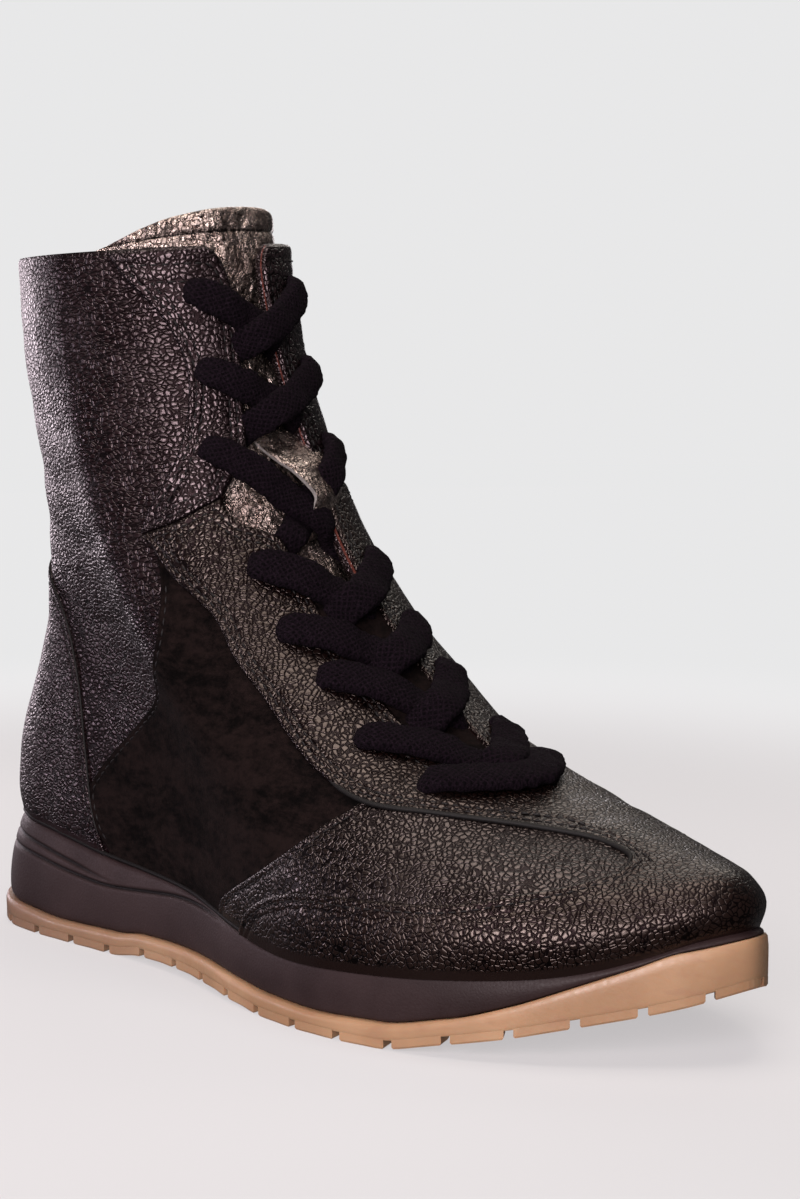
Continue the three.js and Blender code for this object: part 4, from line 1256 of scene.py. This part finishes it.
def leg(name, row, start_side, end_side, middle_lift, bow):
    """One leg of a crossing: up from its hole, over the throat and under the other side's edge."""
    start, end = HOLES[row], HOLES[row + 1]
    offsets = [-3.2, 0.3, REST - 0.5, REST + 0.3, REST + 0.2, middle_lift, middle_lift - 0.6, 0.2, -4.0, -5.2]
    knots = [(mix(start[start_side], end[end_side], t),
              mix(start[0], end[0], t) + bow * math.sin(math.pi * t), offset)
             for t, offset in zip(LEG_SHARES, offsets)]
    slim = 0.86 if row < 3 else 1.0
    obj = strap_object(name, knots, [slim * w for w in LEG_WIDTHS])
    return dress(obj, "lace_cotton", f"lace_cross_{row + 1}")


# The third row's far leg runs below the near one, inside the keeper
KEEPER_ROW = 2
for row in range(7):
    leg(f"lace_near_{row + 1}", row, 1, 2, 1.6, 0.05)
    leg(f"lace_far_{row + 1}", row, 2, 1, -2.0 if row == KEEPER_ROW else 5.4, -0.06)

BAR_SHARES = [0.0, 0.02, 0.06, 0.15, 0.35, 0.5, 0.65, 0.85, 0.94, 0.98, 1.0]
BAR_LIFTS = [-3.0 - REST, 0.5 - REST, -0.2, 0.5, 0.9, 1.0, 0.9, 0.5, -0.2, 0.5 - REST, -3.0 - REST]
BAR_WIDTHS = [7.5, 8.2, 9.6, 11.0, 11.4, 11.4, 11.4, 11.0, 9.6, 8.2, 7.5]
bar_knots = [(mix(0.4, 0.563, t), mix(5.05, 5.5, t), REST + lift) for t, lift in zip(BAR_SHARES, BAR_LIFTS)]
dress(strap_object("lace_bottom_bar", bar_knots, BAR_WIDTHS), "lace_cotton", "lace_bar")


# Keeper: a loop of the tongue's leather that holds the third lace
KEEPER_LEFT = [[0.466, 10.0, -3.6], [0.47, 9.86, -0.6], [0.476, 9.7, 2.8], [0.486, 9.52, 5.4],
               [0.494, 9.36, 5.8], [0.493, 9.2, 3.6], [0.488, 9.06, -0.4], [0.484, 8.96, -4.0]]
KEEPER_RIGHT = [[0.508, 10.1, -3.6], [0.518, 9.98, -1.6], [0.53, 9.82, 1.0], [0.54, 9.62, 3.0],
                [0.544, 9.42, 3.4], [0.538, 9.24, 1.6], [0.53, 9.1, -1.4], [0.524, 9.0, -4.0]]
KEEPER_THICKNESS = 1.3
KEEPER_COLUMNS = 14


def make_keeper():
    left, right = open_curve(KEEPER_LEFT, 8), open_curve(KEEPER_RIGHT, 8)
    across = np.linspace(0, 1, KEEPER_COLUMNS)[:, None]
    place = mix(left[:, None], right[:, None], across)
    top, low = [skin_at(place[..., 0], place[..., 1], place[..., 2] - depth)[0]
                for depth in (0.0, KEEPER_THICKNESS)]
    rows = len(left)
    index = np.arange(rows * KEEPER_COLUMNS).reshape(rows, KEEPER_COLUMNS)
    quads = np.stack([index[:-1, :-1], index[:-1, 1:], index[1:, 1:], index[1:, :-1]], 2).reshape(-1, 4)
    faces = list(quads) + list(quads[:, ::-1] + index.size)
    band = make_object("keeper_band", np.vstack([top.reshape(-1, 3), low.reshape(-1, 3)]), faces,
                       pewter_material, {"hem": np.zeros(2 * index.size)})
    dress(band, "keeper_leather", "lace_keeper")
    points = np.vstack([sheet[:, column] for column in (0, -1) for sheet in (top, low)])
    edge_faces = [(base + i, base + i + 1, base + rows + i + 1, base + rows + i)
                  for base in (0, 2 * rows) for i in range(rows - 1)]
    dress(make_object("keeper_cut_edge", points, edge_faces, cut_edge_material), "keeper_leather")


make_keeper()

# Carried-over solids with better materials
for node_name, material in (("insole", lining_material), ("back_strip", suede_material)):
    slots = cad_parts[node_name].data.materials
    slots.clear()
    slots.append(material)

# Stage: a pale floor and wall, soft lights and the camera
PALE = (0.83, 0.83, 0.835)
# A pinkish tint of the floor's glow near the object: the painted colour of its shadow
PAINTED_SHADOW_TINT = (0.83, 0.8051, 0.822475)
FAR_GLOW = 0.97
STAGE_RADIUS = 1700.0
STAGE_HEIGHT = 2500.0
STAGE_SIDES = 96
SHADED_WITHIN = 0.2
EVEN_BEYOND = 0.6


def pale_material(name, near_glow, near_share, near_tone):
    """A pale matt surface that shades near the object and glows evenly further out."""
    g = Graph(name)
    away = g.node("VectorMath", ((0, g.coord),), operation="LENGTH").outputs["Value"]
    out = g.ramp(away, SHADED_WITHIN, EVEN_BEYOND)
    # Near the object the glow takes near_tone, which on the floor is a painted shadow tint
    g.put(g.shader.inputs["Emission Color"], g.blend(out, near_tone, PALE))
    g.put(g.shader.inputs["Emission Strength"], g.ramp(out, 0.0, 1.0, near_glow, FAR_GLOW))
    return g.finish(g.blend(out, shade(PALE, near_share), BLACK), 0.95, None, 0.0)


turn = np.linspace(0, 2 * math.pi, STAGE_SIDES, endpoint=False)
rim_points = np.stack([np.cos(turn) * STAGE_RADIUS, np.sin(turn) * STAGE_RADIUS, 0 * turn], 1)
floor = make_object("floor", rim_points, [tuple(range(STAGE_SIDES))],
                    pale_material("pale_floor", 0.6, 0.28, PAINTED_SHADOW_TINT), None, False)
wall = make_object("wall", np.vstack([rim_points, rim_points + [0, 0, STAGE_HEIGHT]]),
                   loop_faces(2, STAGE_SIDES), pale_material("pale_wall", FAR_GLOW, 0.0, PALE))
floor.visible_glossy = False
for ray in ("visible_diffuse", "visible_glossy", "visible_transmission", "visible_shadow"):
    setattr(wall, ray, False)

scene = bpy.context.scene
world = bpy.data.worlds.new("studio")
scene.world = world
world.use_nodes = True
background = world.node_tree.nodes["Background"].inputs
background["Color"].default_value = (0.83, 0.79, 0.82, 1)
background["Strength"].default_value = 0.06
scene.view_settings.view_transform = "Standard"

# Each light: name, place, width and height, power and colour
TARGET = Vector((0.07, 0.0, 0.1))
for name, place, size, power, color in (
        ("key", (0.7, -0.98, 0.46), (0.85, 0.55), 21, (1.0, 0.9, 0.92)),
        ("top", (0.12, -0.12, 1.25), (0.9, 0.8), 11, (1.0, 0.9, 0.83)),
        ("back_top", (-0.4, 0.8, 0.85), (0.9, 0.6), 3.5, (1.0, 0.94, 0.86)),
        ("left", (-1.25, 0.18, 0.25), (0.5, 0.5), 5, (1.0, 0.86, 0.94)),
        ("back", (-1.05, 0.95, 0.3), (0.6, 0.6), 4, (1.0, 0.93, 0.95)),
        ("low_left", (-1.0, -0.78, 0.13), (0.3, 0.2), 2.5, (1.0, 0.86, 1.0))):
    data = bpy.data.lights.new(name, "AREA")
    data.shape = "RECTANGLE"
    data.size, data.size_y = size
    data.energy = power
    data.color = color
    light = add_object(name, data)
    light.location = place
    light.visible_camera = False
    light.rotation_euler = (TARGET - Vector(place)).to_track_quat("-Z", "Y").to_euler()

AZIMUTH = math.radians(45.68)
ELEVATION = math.radians(7.28)
ROLL = -0.0057
LENS = 93.72
CAMERA = np.array([740.39, -601.32, 221.27])
view_right = np.array([math.cos(AZIMUTH), math.sin(AZIMUTH), 0.0])
view_back = np.array([math.sin(AZIMUTH) * math.cos(ELEVATION), -math.cos(AZIMUTH) * math.cos(ELEVATION),
                      math.sin(ELEVATION)])
view_up = np.cross(view_back, view_right)
camera_data = bpy.data.cameras.new("camera")
camera_data.sensor_width = 36.0
camera_data.lens = LENS
camera_data.clip_start = 0.01
camera_data.clip_end = 20.0
camera = add_object("camera", camera_data)
columns = np.stack([view_right * math.cos(ROLL) + view_up * math.sin(ROLL),
                    view_up * math.cos(ROLL) - view_right * math.sin(ROLL), view_back, CAMERA * MM], 1)
camera.matrix_world = Matrix(columns.tolist() + [[0, 0, 0, 1]])
bpy.context.scene.camera = camera
